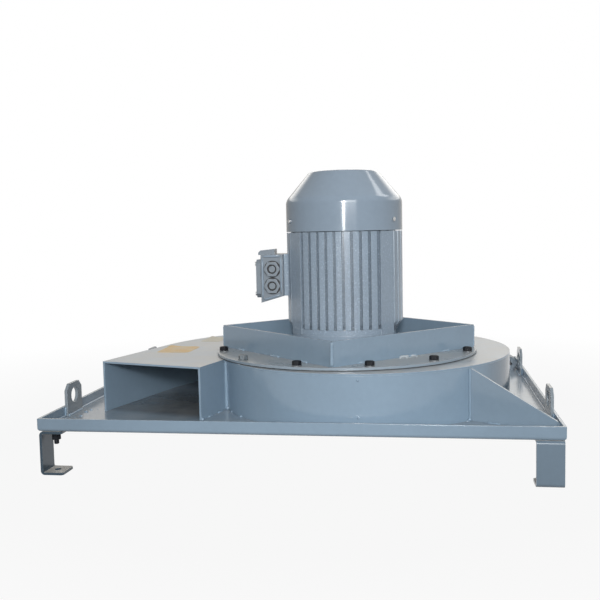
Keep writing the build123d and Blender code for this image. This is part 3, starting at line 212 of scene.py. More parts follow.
room_level = ranged(tree, seen.outputs["Is Glossy Ray"], 0.0, 1.0, dull_level, gloss_level)
strength = ranged(tree, shown, 0.0, 1.0, room_level, 1.0)
warm = product(tree, seen.outputs["Is Glossy Ray"], ranged(tree, facing["Y"], -0.1, 0.3))
room_colour = mixed_colour(tree, warm, (1, 1, 1, 1), (1.0, 0.965, 0.915, 1))
room = put(tree, "Background", {"Color": room_colour, "Strength": strength})
tree.links.new(room.outputs[0], put(tree, "OutputWorld").inputs["Surface"])


def soft_lamp(name, place, aim, size, power):
    """Rectangular lamp at a place, turned to shine at a point."""
    lamp_data = bpy.data.lights.new(name, "AREA")
    lamp_data.shape = "RECTANGLE"
    lamp_data.size, lamp_data.size_y = size
    lamp_data.energy = power
    lamp = bpy.data.objects.new(name, lamp_data)
    away = np.array(place, float) - np.array(aim, float)
    away /= np.linalg.norm(away)
    side = np.cross((0.0, 0.0, 1.0), away)
    side /= np.linalg.norm(side)
    axes = np.eye(4)
    axes[:3, :] = np.stack((side, np.cross(away, side), away, place), axis=1)
    lamp.matrix_world = Matrix(axes.tolist())
    bpy.context.scene.collection.objects.link(lamp)


motor_foot = (0.08, -0.07, 0.2)
soft_lamp("front_right_lamp", (1.0, -3.3, 1.2), (0.05, -0.1, 0.2), (1.6, 1.2), 45.0)
soft_lamp("high_right_lamp", (1.7, 0.7, 2.2), (0.1, -0.05, 0.2), (0.8, 0.8), 8.0)
soft_lamp("flash_lamp", (0.3, -2.7, 0.92), motor_foot, (0.2, 0.2), 40.0)
soft_lamp("strip_lamp", (0.3, -2.7, 0.64), motor_foot, (0.2, 0.36), 9.0)


# Legs: four brackets bent from 5 mm flat bar, standing under the tray's corners,
# in blue-grey gloss made darker than the tray's as painted shade under it.  The front
# left one is darker still, painted shade, and their feet carry a painted sheen.
def new_group(name, inputs, outputs):
    """Empty shader group with its inputs' first values and its outputs' kinds."""
    kinds = {float: "NodeSocketFloat", tuple: "NodeSocketColor", type(None): "NodeSocketVector"}
    group = bpy.data.node_groups.new(name, "ShaderNodeTree")
    for label, value in inputs.items():
        kind = kinds[type(value)]
        socket = group.interface.new_socket(label, in_out="INPUT", socket_type=kind)
        if value is not None:
            socket.default_value = value
    for label, kind in outputs.items():
        group.interface.new_socket(label, in_out="OUTPUT", socket_type="NodeSocket" + kind)
    start = group.nodes.new("NodeGroupInput").outputs
    return group, start, group.nodes.new("NodeGroupOutput").inputs


def edge_group():
    """Rounded edges: how far the normal turns within a small radius is the edge's mask."""
    group, given, result = new_group(
        "rounded_edges", {"Radius": 0.001}, {"Edge": "Float", "Normal": "Vector"}
    )
    rounded = put(group, "Bevel", {"Radius": given["Radius"]}, samples=6).outputs[0]
    true = put(group, "NewGeometry").outputs["Normal"]
    same = put(group, "VectorMath", {0: rounded, 1: true}, operation="DOT_PRODUCT")
    turned = worked(group, "SUBTRACT", 1.0, same.outputs["Value"])
    group.links.new(ranged(group, turned, 0.01, 0.22), result["Edge"])
    group.links.new(rounded, result["Normal"])
    return group


def gloss_group():
    """Sprayed gloss paint: cloudy tone, dust and a painted sheen on level faces, thin
    paint and a painted highlight on edges.

    The tone is the colour times one plus a broad and a fine noise, less its painted
    shade.  The dust and painted sheen is a mask of how level the face is, times a
    patchy noise.  The height, in millimetres, is the sheet's slow waves plus the skin's
    orange peel, and on a casting the small pimples of its grain, which are also paler.
    """
    inputs = {"Vector": None, "Colour": (0.2, 0.25, 0.3, 1.0), "Edge": 0.0, "Dust and sheen": 0.3,
              "Wave": 0.1, "Peel": 0.004, "Gloss": 0.2, "Grain": 0.0, "Painted shade": 0.0}
    outputs = {"Colour": "Color", "Roughness": "Float", "Height": "Float"}
    group, given, result = new_group("sprayed_gloss", inputs, outputs)
    where = given["Vector"]
    dust_and_sheen_colour, thin_paint_and_highlight_colour = (0.42, 0.41, 0.385, 1.0), (0.46, 0.52, 0.58, 1.0)
    pimple_tone, pimple_height, painted_shade_depth, dust_roughness = 1.5, 1.2, 0.45, 0.25
    broad = noise(group, where, 5.0, 3.0)
    fine = noise(group, where, 90.0, 4.0)
    peel = noise(group, where, 420.0, 2.0)
    slow = noise(group, where, 9.0, 1.0)
    pimples = ranged(group, noise(group, where, 400.0, 2.0), 0.54, 0.68)
    pimples = product(group, pimples, given["Grain"])
    shade = worked(group, "ADD", ranged(group, broad, 0.3, 0.7, 0.95, 1.05),
                   ranged(group, fine, 0.3, 0.7, -0.02, 0.02))
    shade = worked(group, "ADD", shade, product(group, pimples, pimple_tone))
    # Painted shade: the tone darkens by the mask that a material passes in.
    shade = worked(group, "SUBTRACT", shade, product(group, given["Painted shade"], painted_shade_depth))
    toned = put(group, "VectorMath", {0: given["Colour"], "Scale": shade}, operation="SCALE")
    up = put(group, "SeparateXYZ", {0: put(group, "NewGeometry").outputs["Normal"]}).outputs[2]
    patches = noise(group, where, 14.0, 2.0)
    # Level faces paler: dust, and a painted sheen of the bright room above.
    dust_and_sheen_mask = product(group, ranged(group, up, 0.75, 0.98), given["Dust and sheen"])
    dust_and_sheen_mask = product(group, dust_and_sheen_mask, ranged(group, patches, 0.35, 0.65, 0.45, 1.0))
    dusted_and_sheened = mixed_colour(group, dust_and_sheen_mask, toned.outputs[0], dust_and_sheen_colour)
    # Edges paler: thin paint, and a painted highlight.
    thin_paint_and_highlight = product(group, given["Edge"], ranged(group, fine, 0.35, 0.62, 0.1, 0.5))
    group.links.new(mixed_colour(group, thin_paint_and_highlight, dusted_and_sheened, thin_paint_and_highlight_colour), result["Colour"])
    rough = worked(group, "ADD", given["Gloss"], ranged(group, fine, 0.3, 0.7, -0.01, 0.02))
    rough = worked(group, "ADD", rough, product(group, dust_and_sheen_mask, dust_roughness), clamp=True)
    group.links.new(rough, result["Roughness"])
    waves = product(group, slow, given["Wave"])
    skin = product(group, peel, given["Peel"])
    skin = worked(group, "ADD", product(group, pimples, pimple_height), skin)
    group.links.new(worked(group, "ADD", waves, skin), result["Height"])
    return group


rounded_edges = edge_group()
sprayed_gloss = gloss_group()
frame_blue = (0.178, 0.248, 0.318, 1.0)


def used_group(tree, group, joins):
    """A shader group placed in a material with its own values."""
    node = tree.nodes.new("ShaderNodeGroup")
    node.node_tree = group
    return set_inputs(node, joins).outputs


def finish(name, skin_group, edge, values, metallic=0.0, ior=1.5, painted_shade=None):
    """Material of one skin group over rounded edges; the group's height is in millimetres."""
    material, tree, output = new_tree(name)
    edges = used_group(tree, rounded_edges, {"Radius": edge})
    place = put(tree, "TexCoord").outputs["Object"]
    skin = used_group(tree, skin_group, {"Vector": place, "Edge": edges["Edge"], **values})
    # Painted shade from a mask of the place, where one is given.
    if painted_shade:
        set_inputs(skin[0].node, {"Painted shade": painted_shade(tree, place)})
    bumped = put(tree, "Bump", {"Strength": 1.0, "Distance": mm, "Height": skin["Height"],
                                "Normal": edges["Normal"]})
    shader = put(tree, "BsdfPrincipled", {
        "Base Color": skin["Colour"], "Roughness": skin["Roughness"], "Metallic": metallic,
        "IOR": ior, "Normal": bumped.outputs[0]})
    tree.links.new(shader.outputs[0], output.inputs["Surface"])
    return material


def gloss_paint(name, colour=frame_blue, edge=1.2 * mm, dust_and_sheen=0.25, wave=0.1, peel=0.001,
                gloss=0.17, grain=0.0, painted_shade=None):
    """Sprayed gloss paint of one colour, darkened by painted shade where a function of the place
    says so.
    """
    values = {"Colour": colour, "Dust and sheen": dust_and_sheen, "Wave": wave, "Peel": peel, "Gloss": gloss}
    return finish(name, sprayed_gloss, edge, {**values, "Grain": grain}, painted_shade=painted_shade)


def dress(material, *nodes):
    """Gives CAD nodes a material in the slot that they come with."""
    for label in nodes:
        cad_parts[label].material_slots[0].material = material


def fitted(piece, material, slot, *stands_for):
    """Gives a housing piece its material and hides the nodes it replaces; the slot is not used.
    """
    piece.data.materials.append(material)
    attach(piece, "housing")
    if stands_for:
        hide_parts(*stands_for)


# Painted shade: both blues are darker than the tray's; a high dust setting paints a sheen on the
# feet.
shaded_leg_blue, deep_shaded_leg_blue = (0.098, 0.138, 0.178, 1.0), (0.02, 0.04, 0.06, 1.0)
dress(gloss_paint("leg_gloss_paint", shaded_leg_blue, edge=0.5 * mm, dust_and_sheen=0.9, gloss=0.2),
      "leg_front_right", "leg_back_left", "leg_back_right")
dress(gloss_paint("shadowed_leg_gloss_paint", deep_shaded_leg_blue, edge=0.4 * mm, dust_and_sheen=1.8, gloss=0.3),
      "leg_front_left")


# Leg bolts: black M10 hexagon bolts with their heads on the tray's floor and a few
# turns of thread showing below the nuts under the legs' top flanges.
def fastener_grid(point, levels, limits, across, pitch=1.5, thread=(1.0, 0.0)):
    """At each level, the smaller of the hexagon's side and a round limit.

    The hexagon's side is half the width across over the cosine of the angle from
    the nearest flat's middle, so a limit that widens over a few levels cuts the
    chamfer.  Between the thread's two levels the radius also loses a helical wave,
    a triangle of the level over the pitch plus the share of the turn.
    """
    turn, thread_depth = np.arange(48) * 2 * pi / 48, 0.3
    angle, height = np.meshgrid(turn, np.array(levels, float), indexing="ij")
    side = across / 2 / np.cos(angle % (pi / 3) - pi / 6)
    reach = np.minimum(side, np.array(limits, float))
    groove = thread_depth * pitch * np.abs(2 * ((height / pitch + angle / (2 * pi)) % 1.0) - 1)
    reach -= np.where((height > thread[0]) & (height < thread[1]), groove, 0.0)
    ring = np.stack((reach * np.cos(angle), reach * np.sin(angle), height), axis=-1)
    return (np.array(point) + ring) * mm


flats_share, nut_share, crisp = 1.65, 0.8, 35.0


def chamfer(across):
    """Levels below a hexagon's face, and the radius that its corners are cut to at each."""
    top, corner = 0.47 * across, 0.6 * across
    return np.array((0.0, 0.15, 0.55, 1.1)), (top, top + 0.25, top + 0.9, corner)


def bolt_grid(point, size, length, threaded=3.0, pitch=1.5, turned_over=False, head=0.65):
    """Hexagon bolt standing on its head's seat, which is at the point, with the shank below."""
    across, high, shank = flats_share * size, head * size, size / 2
    below, cut = chamfer(across)
    thread = np.arange(-length + 0.9, -length + threaded, pitch / 5)
    levels = [-length, -length + 0.6, *thread, -length + threaded, 0, 0, 0.3,
              *(high - below[::-1])]
    limits = [shank - 1.2, shank - 0.5, *np.full(len(thread), shank), shank, shank,
              0.48 * across, cut[-1], *cut[::-1]]
    levels, limits = np.array(levels, float), np.array(limits, float)
    cut_thread = (-length + 0.5, -length + threaded)
    if turned_over:
        levels, limits = -levels[::-1], limits[::-1]
        cut_thread = (length - threaded, length - 0.5)
    return fastener_grid(point, levels, limits, across, pitch, cut_thread)


def nut_grid(point, size):
    """Nut standing on the point, with both its faces chamfered."""
    across, high = flats_share * size, nut_share * size
    below, cut = chamfer(across)
    return fastener_grid(point, [*below, *(high - below[::-1])], [*cut, *cut[::-1]], across)


def fasteners(name, grids, material, slot, node):
    """Bolts or nuts as one piece with crisp edges, in place of a CAD node."""
    fitted(surface_mesh(name, grids, crisp), material, slot, node)


def steel_group():
    """Bare, plated or blackened steel: cloudy tone, fine scratches, and an edge colour that is
    wear on most metals and painted shade on the painted-over bolt.
    """
    inputs = {"Vector": None, "Colour": (0.1, 0.1, 0.1, 1.0), "Worn and shaded edge colour": (0.3, 0.3, 0.3, 1.0),
              "Edge": 0.0, "Edge wear and shade": 0.5, "Gloss": 0.35}
    outputs = {"Colour": "Color", "Roughness": "Float", "Height": "Float"}
    group, given, result = new_group("steel_skin", inputs, outputs)
    where, scratch_scale, scratch_depth = given["Vector"], (900.0, 900.0, 60.0), 0.012
    cloud = noise(group, where, 120.0, 5.0)
    stretched = put(group, "Mapping", {"Vector": where, "Scale": scratch_scale})
    lines = noise(group, stretched.outputs[0], 1.0, 2.0)
    shade = ranged(group, cloud, 0.3, 0.7, 0.75, 1.25)
    toned = put(group, "VectorMath", {0: given["Colour"], "Scale": shade}, operation="SCALE")
    worn_and_shaded_edge = product(group, given["Edge"], ranged(group, cloud, 0.4, 0.6))
    worn_and_shaded_edge = product(group, worn_and_shaded_edge, given["Edge wear and shade"])
    group.links.new(mixed_colour(group, worn_and_shaded_edge, toned.outputs[0], given["Worn and shaded edge colour"]), result["Colour"])
    rough = worked(group, "ADD", given["Gloss"], ranged(group, lines, 0.3, 0.7, -0.08, 0.12))
    group.links.new(rough, result["Roughness"])
    group.links.new(product(group, lines, scratch_depth), result["Height"])
    return group


steel_skin = steel_group()


def steel(name, colour, worn_and_shaded_edge_colour, gloss, metallic=1.0, edge_wear_and_shade=0.5, edge=0.5 * mm, ior=1.5):
    """Metal of one colour that shows another on its edges: wear on most metals, painted shade on
    the painted-over bolt.
    """
    values = {"Colour": (*colour, 1.0), "Worn and shaded edge colour": (*worn_and_shaded_edge_colour, 1.0), "Edge wear and shade": edge_wear_and_shade, "Gloss": gloss}
    return finish(name, steel_skin, edge, values, metallic, ior)


black_steel = steel("black_bolt_steel", (0.008, 0.009, 0.012), (0.07, 0.072, 0.08), 0.55, 0.0,
                    0.4, ior=1.25)
tray_floor = 92.0
leg_bolt_points = [(-474, -383), (473, -384), (474, 383), (-473, 384)]
fasteners("leg_bolts_threaded", [
    bolt_grid((x, y, tray_floor), size=10, length=35, threaded=19)
    for x, y in leg_bolt_points],
    black_steel, "black_steel", "leg_bolts")

# Tray: one folded sheet with a low rim all round, its rim corners welded and ground
# flush, in blue-grey gloss.  Its wide floor is slightly wavy and shows reflections.
outlet_corner = (-168.0, -203.3)
outlet_heading = radians(256)
outlet_ahead = (cos(outlet_heading), sin(outlet_heading))
outlet_side = (-outlet_ahead[1], outlet_ahead[0])
outlet_width, outlet_mouth = 244, 108


def tray_painted_shade(tree, place):
    """Painted shade between the outlet's walls, on the front rim's two ends and at the left.

    Each patch is a product of ramps: along and across the outlet's heading, past the
    rim's front face and out to its ends, and towards the tray's left side.
    """
    between_walls, rim_ends, left_side, fade = 1.5, 0.4, 0.35, 4
    corner = (outlet_corner[0] * mm, outlet_corner[1] * mm, 0)
    offset = put(tree, "VectorMath", {0: place, 1: corner}, operation="SUBTRACT").outputs[0]
    run, across = [put(tree, "VectorMath", {0: offset, 1: (*way, 0)}, operation="DOT_PRODUCT")
                   .outputs["Value"] for way in (outlet_ahead, outlet_side)]
    inside = product(tree, ranged(tree, run, outlet_mouth * mm, 70 * mm),
                     ranged(tree, run, -200 * mm, -80 * mm))
    right = ranged(tree, across, 0.0, -fade * mm)
    left = ranged(tree, across, -outlet_width * mm, (fade - outlet_width) * mm)
    inside = product(tree, inside, product(tree, left, right))
    inside = product(tree, inside, between_walls)
    spot = put(tree, "SeparateXYZ", {0: place}).outputs
    front = ranged(tree, spot["Y"], -408 * mm, -409.5 * mm)
    aside = worked(tree, "ABSOLUTE", spot["X"])
    ends = ranged(tree, aside, 200 * mm, 430 * mm, 0.0, rim_ends)
    far_left = ranged(tree, spot["X"], -250 * mm, -430 * mm, 0.0, left_side)
    outside = worked(tree, "MAXIMUM", product(tree, front, ends), far_left)
    return worked(tree, "MAXIMUM", inside, outside)


# Painted shade: darker inside the outlet, at the front rim's ends and towards the left.
dress(gloss_paint("tray_gloss_paint", edge=2.0 * mm, dust_and_sheen=0.3, wave=0.3, painted_shade=tray_painted_shade),
      "base_tray")


# Lifting lugs: four flame-cut plates with a round hole, welded to the tray's floor
# and to the side rims, with a little spatter on the floor beside the front left one.
def bead_grid(path, radius, pitch=2.4, seed=0.0):
    """Weld bead: a round ridge carried along a path of points in millimetres.

    The radius swells with each ripple of the arc, by the sine of the distance over
    the pitch, wanders slowly, and falls at both ends as a round end does, by the
    root of one less the square of one less the distance from the end over the radius.
    """
    ripple, wander, wander_length, blunt_end = 0.1, 0.08, 7.3, 0.02
    path = np.array(path, float)
    steps = np.linalg.norm(np.diff(path, axis=0), axis=1)
    along = np.concatenate(([0.0], np.cumsum(steps)))
    fine = np.linspace(0, along[-1], max(int(along[-1] / pitch * 4), 8))
    centre = np.stack([np.interp(fine, along, path[:, k]) for k in range(3)], axis=-1)
    ahead = np.gradient(centre, axis=0)
    ahead /= np.linalg.norm(ahead, axis=1)[:, None]
    helper = np.array((0.31, 0.2, 0.93)) if abs(ahead[0, 2]) < 0.7 else np.array((0.9, 0.4, 0.1))
    side = np.cross(ahead, helper)
    side /= np.linalg.norm(side, axis=1)[:, None]
    other = np.cross(ahead, side)
    from_end = np.clip(np.minimum(fine, along[-1] - fine) / radius, 0.0, 1.0)
    thick = radius * (1 + ripple * np.abs(np.sin(pi * fine / pitch + seed)))
    thick *= 1 + wander * np.sin(fine / wander_length + 2 * seed)
    thick *= np.sqrt(1 - (1 - from_end) ** 2) + blunt_end
    turn = (np.arange(12) * 2 * pi / 12)[:, None, None]
    round_it = np.cos(turn) * side + np.sin(turn) * other
    return (centre + round_it * thick[:, None]) * mm


def straight(start, end):
    """Two points as a path."""
    return np.linspace(start, end, 2)


def blob_grid(centre, radius, height):
    """Flattened ball: rings whose radius is the cosine of their rise, and height its sine."""
    near_pole = 1.45
    turn, rise = np.meshgrid(np.arange(10) * 2 * pi / 10, np.linspace(-near_pole, near_pole, 7),
                             indexing="ij")
    reach = radius * np.cos(rise)
    ring = np.stack((reach * np.cos(turn), reach * np.sin(turn), height * np.sin(rise)), axis=-1)
    return (np.array(centre) + ring) * mm


lug_grey = (0.175, 0.205, 0.23, 1.0)
dress(gloss_paint("lug_gloss_paint", lug_grey, edge=1.5 * mm, dust_and_sheen=0.1), "lifting_lugs")
weld_paint = gloss_paint("weld_gloss_paint", edge=0.4 * mm, dust_and_sheen=0.05, wave=0.3, peel=0.01,
                         gloss=0.2)
weld_level = 92.5
lug_place, lug_foot, lug_rim = 258, 488.5, 494
lug_welds = []
for side in (-1, 1):
    for lug_y in (-lug_place, lug_place):
        foot, rim = side * lug_foot, side * lug_rim
        lug_welds.append(bead_grid(
            straight((foot, lug_y - 34, weld_level), (foot, lug_y + 34, weld_level)), 2.6))
        for end in (lug_y - 37, lug_y + 37):
            lug_welds.append(bead_grid(straight((rim, end, 93), (rim, end, 111)), 2.2))
spatter = [(-461.6, -291.8, 3.6), (-466.9, -254, 4.4), (-464.1, -234.1, 3.4),
           (-459, -262, 1.6), (-452, -226, 1.4), (-470, -304, 1.5)]
lug_welds += [blob_grid((x, y, tray_floor), size, 0.6 * size) for x, y, size in spatter]
fitted(surface_mesh("lug_welds", lug_welds), weld_paint, "paint")

# Folds of the tray: the inner bend between floor and rim is a small smooth round that
# runs all along the four sides, so it carries one bright line.
fold_x, fold_y, fold_z, fold_round, smooth_pitch = 494.4, 404.4, 92.6, 2.4, 60.0
corners = [(-fold_x, -fold_y, fold_z), (fold_x, -fold_y, fold_z),
           (fold_x, fold_y, fold_z), (-fold_x, fold_y, fold_z)]
folds = [bead_grid(straight(*ends), fold_round, smooth_pitch)
         for ends in zip(corners, corners[1:] + corners[:1])]
fitted(surface_mesh("tray_folds", folds), gloss_paint("fold_gloss_paint", dust_and_sheen=0.1), "paint")

# Round socket lying on the tray's floor by the back right lug: dull zinc-plated steel
# that has gone dark.
dress(steel("dull_zinc_steel", (0.1, 0.125, 0.15), (0.2, 0.22, 0.24), 0.42, 0.5), "floor_socket")

# Scroll housing: a spiral wall of 4 mm sheet between the tray and a flat top plate,
# opening into a rectangular outlet with its own right wall.  The wall's foot is
# stitched to the tray and the corner by the outlet has one full bead.
fan_x, fan_y = 76.0, -68.0
scroll_top = 200.0
cut_off_reach, cut_off_angle, growth = 279, 209, 0.53


def spiral_path(start, end, out=0.0, level=92.0):
    """Points on the wall's outer face: the radius grows evenly with the angle."""
    angle = np.linspace(start, end, 12)
    reach = cut_off_reach + growth * (angle - cut_off_angle) + out
    turn = np.radians(angle)
    return np.stack((fan_x + reach * np.cos(turn), fan_y + reach * np.sin(turn),
                     0 * angle + level), axis=-1)


def flank_painted_shade(tree, place):
    """Painted shade that grows round the scroll's right flank, by the distance to the right."""
    begins, full, depth = 360 * mm, 425 * mm, 1.1
    across = put(tree, "SeparateXYZ", {0: place}).outputs["X"]
    return ranged(tree, across, begins, full, 0.0, depth)


# Painted shade: the scroll's right flank darkens towards the right.
dress(gloss_paint("scroll_gloss_paint", dust_and_sheen=0.2, wave=0.25, painted_shade=flank_painted_shade),
      "scroll_wall", "outlet_side_wall")
dress(gloss_paint("scroll_top_gloss_paint", dust_and_sheen=0.75, wave=0.25, gloss=0.2), "scroll_top_plate")
corner, outlet_ahead, outlet_side = map(np.array, (outlet_corner, outlet_ahead, outlet_side))
bead_foot = corner + 4.5 * outlet_ahead + 0.8 * outlet_side
bead_low, bead_high = 94, 198.5
scroll_welds = [
    bead_grid(straight((*bead_foot, bead_low), (*bead_foot, bead_high)), 4.2, 9.0),
    blob_grid((*(bead_foot + 2.0 * outlet_side), 95), 5.6, 4.5),
    blob_grid((*(corner + 109 * outlet_ahead), 93.5), 4.2, 3.5),
    blob_grid(spiral_path(217.4, 217.4, 0.5, 94)[0], 2.4, 2.2),
    blob_grid(spiral_path(227, 227, 0.5, 93.5)[0], 4.4, 2.4),
]
stitch_pitch = 24.0
for start in range(244, 520, 15):
    path = spiral_path(start, start + 5, 1.0, weld_level)
    scroll_welds.append(bead_grid(path, 2.2, stitch_pitch, start))
for reach in (20, 62):
    path = straight((*(corner + reach * outlet_ahead), weld_level),
                    (*(corner + (reach + 24) * outlet_ahead), weld_level))
    scroll_welds.append(bead_grid(path, 2.0, stitch_pitch))
wall_spots = [(279.3, 188, 2.2), (279.3, 116, 2.0), (279.6, 104, 2.6)]
for angle, height, size in wall_spots:
    spot = spiral_path(angle, angle, 0.0, height)[0]
    scroll_welds.append(blob_grid(spot, size, size))
fitted(surface_mesh("scroll_welds", scroll_welds), weld_paint, "paint")


# Blank labels: two faded plain stickers on the outlet's top, with nothing on them; the
# one further back is bleached almost grey.
def sticker_grid(middle, length, width, heading):
    """Rounded rectangle: a circle's sine and cosine raised to a third, in rings that
    close on the top.  Its far corner lifts with the square of the distance past the
    middle.
    """
    thickness, corner_lift, lift_from = 0.4, 35.0, 0.62
    turn, out = np.meshgrid(
        np.arange(64) * 2 * pi / 64, np.array((1, 1, 0.99, 0.9, 0.7, 0.4, 0.15)), indexing="ij")
    square = [np.sign(wave) * np.abs(wave) ** (1 / 3) for wave in (np.cos(turn), np.sin(turn))]
    x, y = 0.5 * length * out * square[0], 0.5 * width * out * square[1]
    lift = corner_lift * np.clip(x / length + y / width - lift_from, 0, 1) ** 2
    rise = lift + np.array((0, 0.7, 1, 1, 1, 1, 1)) * thickness
    c, s = cos(radians(heading)), sin(radians(heading))
    return np.stack((middle[0] + c * x - s * y, middle[1] + s * x + c * y, middle[2] + rise),
                    axis=-1) * mm


label_faded, tree, output = new_tree("faded_label")
place = put(tree, "TexCoord").outputs["Object"]
blotch = noise(tree, place, 30.0, 6.0)
grain = noise(tree, place, 700.0, 3.0)
ochre, pale_ochre = (0.50, 0.31, 0.085, 1), (0.47, 0.36, 0.19, 1)
bleached = (0.40, 0.395, 0.33, 1)
faded = mixed_colour(tree, ranged(tree, blotch, 0.4, 0.62), ochre, pale_ochre)
further_back = put(tree, "SeparateXYZ", {0: place}).outputs[1]
faded = mixed_colour(tree, ranged(tree, further_back, 0.0, 0.05, 0.0, 0.85), faded, bleached)
rough = ranged(tree, grain, 0.3, 0.7, 0.4, 0.55)
bumped = put(tree, "Bump", {"Distance": 0.05 * mm, "Height": grain})
shader = put(tree, "BsdfPrincipled", {"Base Color": faded, "Roughness": rough,
                                      "Normal": bumped.outputs[0]})
tree.links.new(shader.outputs[0], output.inputs["Surface"])
stickers = [sticker_grid((-315.5, -64.7, scroll_top), length=104, width=78, heading=88),
            sticker_grid((-274, 112, scroll_top), length=86, width=52, heading=84)]
fitted(surface_mesh("blank_labels", stickers, 50.0), label_faded, "paint")

# Gusset: a 5 mm plate from the scroll wall down to the tray's front right corner,
# welded along its foot and up the wall, with a lump where the two beads meet.
gusset_blue = (0.162, 0.218, 0.272, 1.0)
dress(gloss_paint("gusset_gloss_paint", gusset_blue, edge=1.5 * mm, dust_and_sheen=0.6), "front_gusset")
gusset_angle, half_gusset, gusset_high = 321, 3.2, 195
gusset_root = spiral_path(gusset_angle, gusset_angle)[0][:2]
gusset_end = np.array((495.0, -360.0))
gusset_ahead = (gusset_end - gusset_root) / np.linalg.norm(gusset_end - gusset_root)
gusset_side = np.array((gusset_ahead[1], -gusset_ahead[0]))
gusset_welds = []
for side in (-1, 1):
    edge = gusset_root + side * half_gusset * gusset_side + 0.8 * gusset_ahead
    path = straight((*edge, bead_low), (*edge, gusset_high))
    gusset_welds.append(bead_grid(path, 2.0, seed=side))
    gusset_welds.append(blob_grid((*(edge + 1.5 * gusset_side * side), 95), 4.0, 4.0))
    for reach in (36, 92, 140):
        path = straight((*(edge + reach * gusset_ahead), weld_level),
                        (*(edge + (reach + 26) * gusset_ahead), weld_level))
        gusset_welds.append(bead_grid(path, 2.4, seed=reach))
fitted(surface_mesh("gusset_welds", gusset_welds), weld_paint, "paint")

# Inlet cone: a spun ring of 3 mm sheet that curls up into the impeller's eye, held
# under the tray by eight zinc-plated M8 bolts.
dress(gloss_paint("inlet_gloss_paint", dust_and_sheen=0.1), "inlet_cone")
zinc = steel("zinc_plated_steel", (0.62, 0.63, 0.64), (0.5, 0.5, 0.52), 0.3)


def round_points(radius, first, count):
    """Points spaced evenly round the shaft's axis, from a first angle."""
    angles = np.radians(first + 360.0 / count * np.arange(count))
    return [(fan_x + radius * np.cos(a), fan_y + radius * np.sin(a)) for a in angles]


inlet_circle, inlet_seat = 182, 84
inlet_points = round_points(inlet_circle, 0, 8)
fasteners("inlet_bolts_threaded", [
    bolt_grid((x, y, inlet_seat), size=8, length=17, pitch=1.25, turned_over=True)
    for x, y in inlet_points],
    zinc, "zinc_steel", "inlet_bolts")
fasteners("inlet_nuts_chamfered", [nut_grid((x, y, tray_floor), 8) for x, y in inlet_points],
          zinc, "zinc_steel", "inlet_nuts")

# Motor plate: a round 5 mm plate on a black rubber gasket, bolted to the scroll's top
# with twelve black M10 bolts on grimy washers.  One bolt and its washer were painted
# over.  The nuts below, and the two on each leg bolt, are the same black M10.
plate_grey = (0.19, 0.235, 0.275, 1.0)
dress(gloss_paint("plate_gloss_paint", plate_grey, dust_and_sheen=0.6, wave=0.2, gloss=0.2), "motor_plate")


def rubber(name, colour, gloss=0.6):
    """Rubber or moulding of one colour, with no wear on its edges."""
    values = {"Colour": (*colour, 1.0), "Worn and shaded edge colour": (*colour, 1.0), "Edge wear and shade": 0.0, "Gloss": gloss}
    return finish(name, steel_skin, 0.4 * mm, values)


dress(rubber("dusty_rubber", (0.034, 0.038, 0.043)), "motor_plate_gasket")
dress(steel("grimy_zinc_steel", (0.16, 0.17, 0.18), (0.4, 0.41, 0.42), 0.5, 0.6),
      "motor_plate_washers")
plate_circle, plate_top, washer_top = 274, 207, 209
plate_points = round_points(plate_circle, 15, 12)
plate_bolts = [bolt_grid((x, y, washer_top), size=10, length=23, head=0.85)
               for x, y in plate_points]
painted_over = 7
painted_bolt = plate_bolts.pop(painted_over)
fasteners("plate_bolts_black", plate_bolts, black_steel, "black_steel", "motor_plate_bolts")


def disc_grid(centre, radius, thickness, facing_front=False):
    """Flat disc with a small round at its edge, lying on the centre or facing the front.

    The profile is a radius for each level, turned about the upright axis or about
    the axis that points to the front.
    """
    reach = radius - np.array((0.3, 0.0, 0.0, 0.35))
    level = thickness * np.array((0.0, 0.2, 0.75, 1.0))
    turn, reach = np.meshgrid(np.arange(48) * 2 * pi / 48, reach, indexing="ij")
    level = level + 0 * turn
    if facing_front:
        disc = np.stack((reach * np.cos(turn), -level, reach * np.sin(turn)), axis=-1)
    else:
        disc = np.stack((reach * np.cos(turn), reach * np.sin(turn), level), axis=-1)
    return (np.array(centre) + disc) * mm


painted_washer = disc_grid((*plate_points[painted_over], plate_top), 10.6, 2.2)
# Painted shade: the painted-over bolt's edges are painted near black.
bolt_paint = steel("painted_bolt_steel", (0.1, 0.12, 0.135), (0.02, 0.024, 0.028), 0.4, 0.0,
                   1.0, 1.8 * mm)
fasteners("plate_bolt_painted", [painted_bolt, painted_washer], bolt_paint, "paint",
          "motor_plate_bolts")
plate_nut_seat, leg_nut_seats = 188, (66, 74)
nut_points = [(x, y, plate_nut_seat) for x, y in plate_points]
nut_points += [(x, y, z) for x, y in leg_bolt_points for z in leg_nut_seats]
fasteners("nuts_m10_chamfered", [nut_grid(point, 10) for point in nut_points], black_steel,
          "black_steel", "nuts_m10")

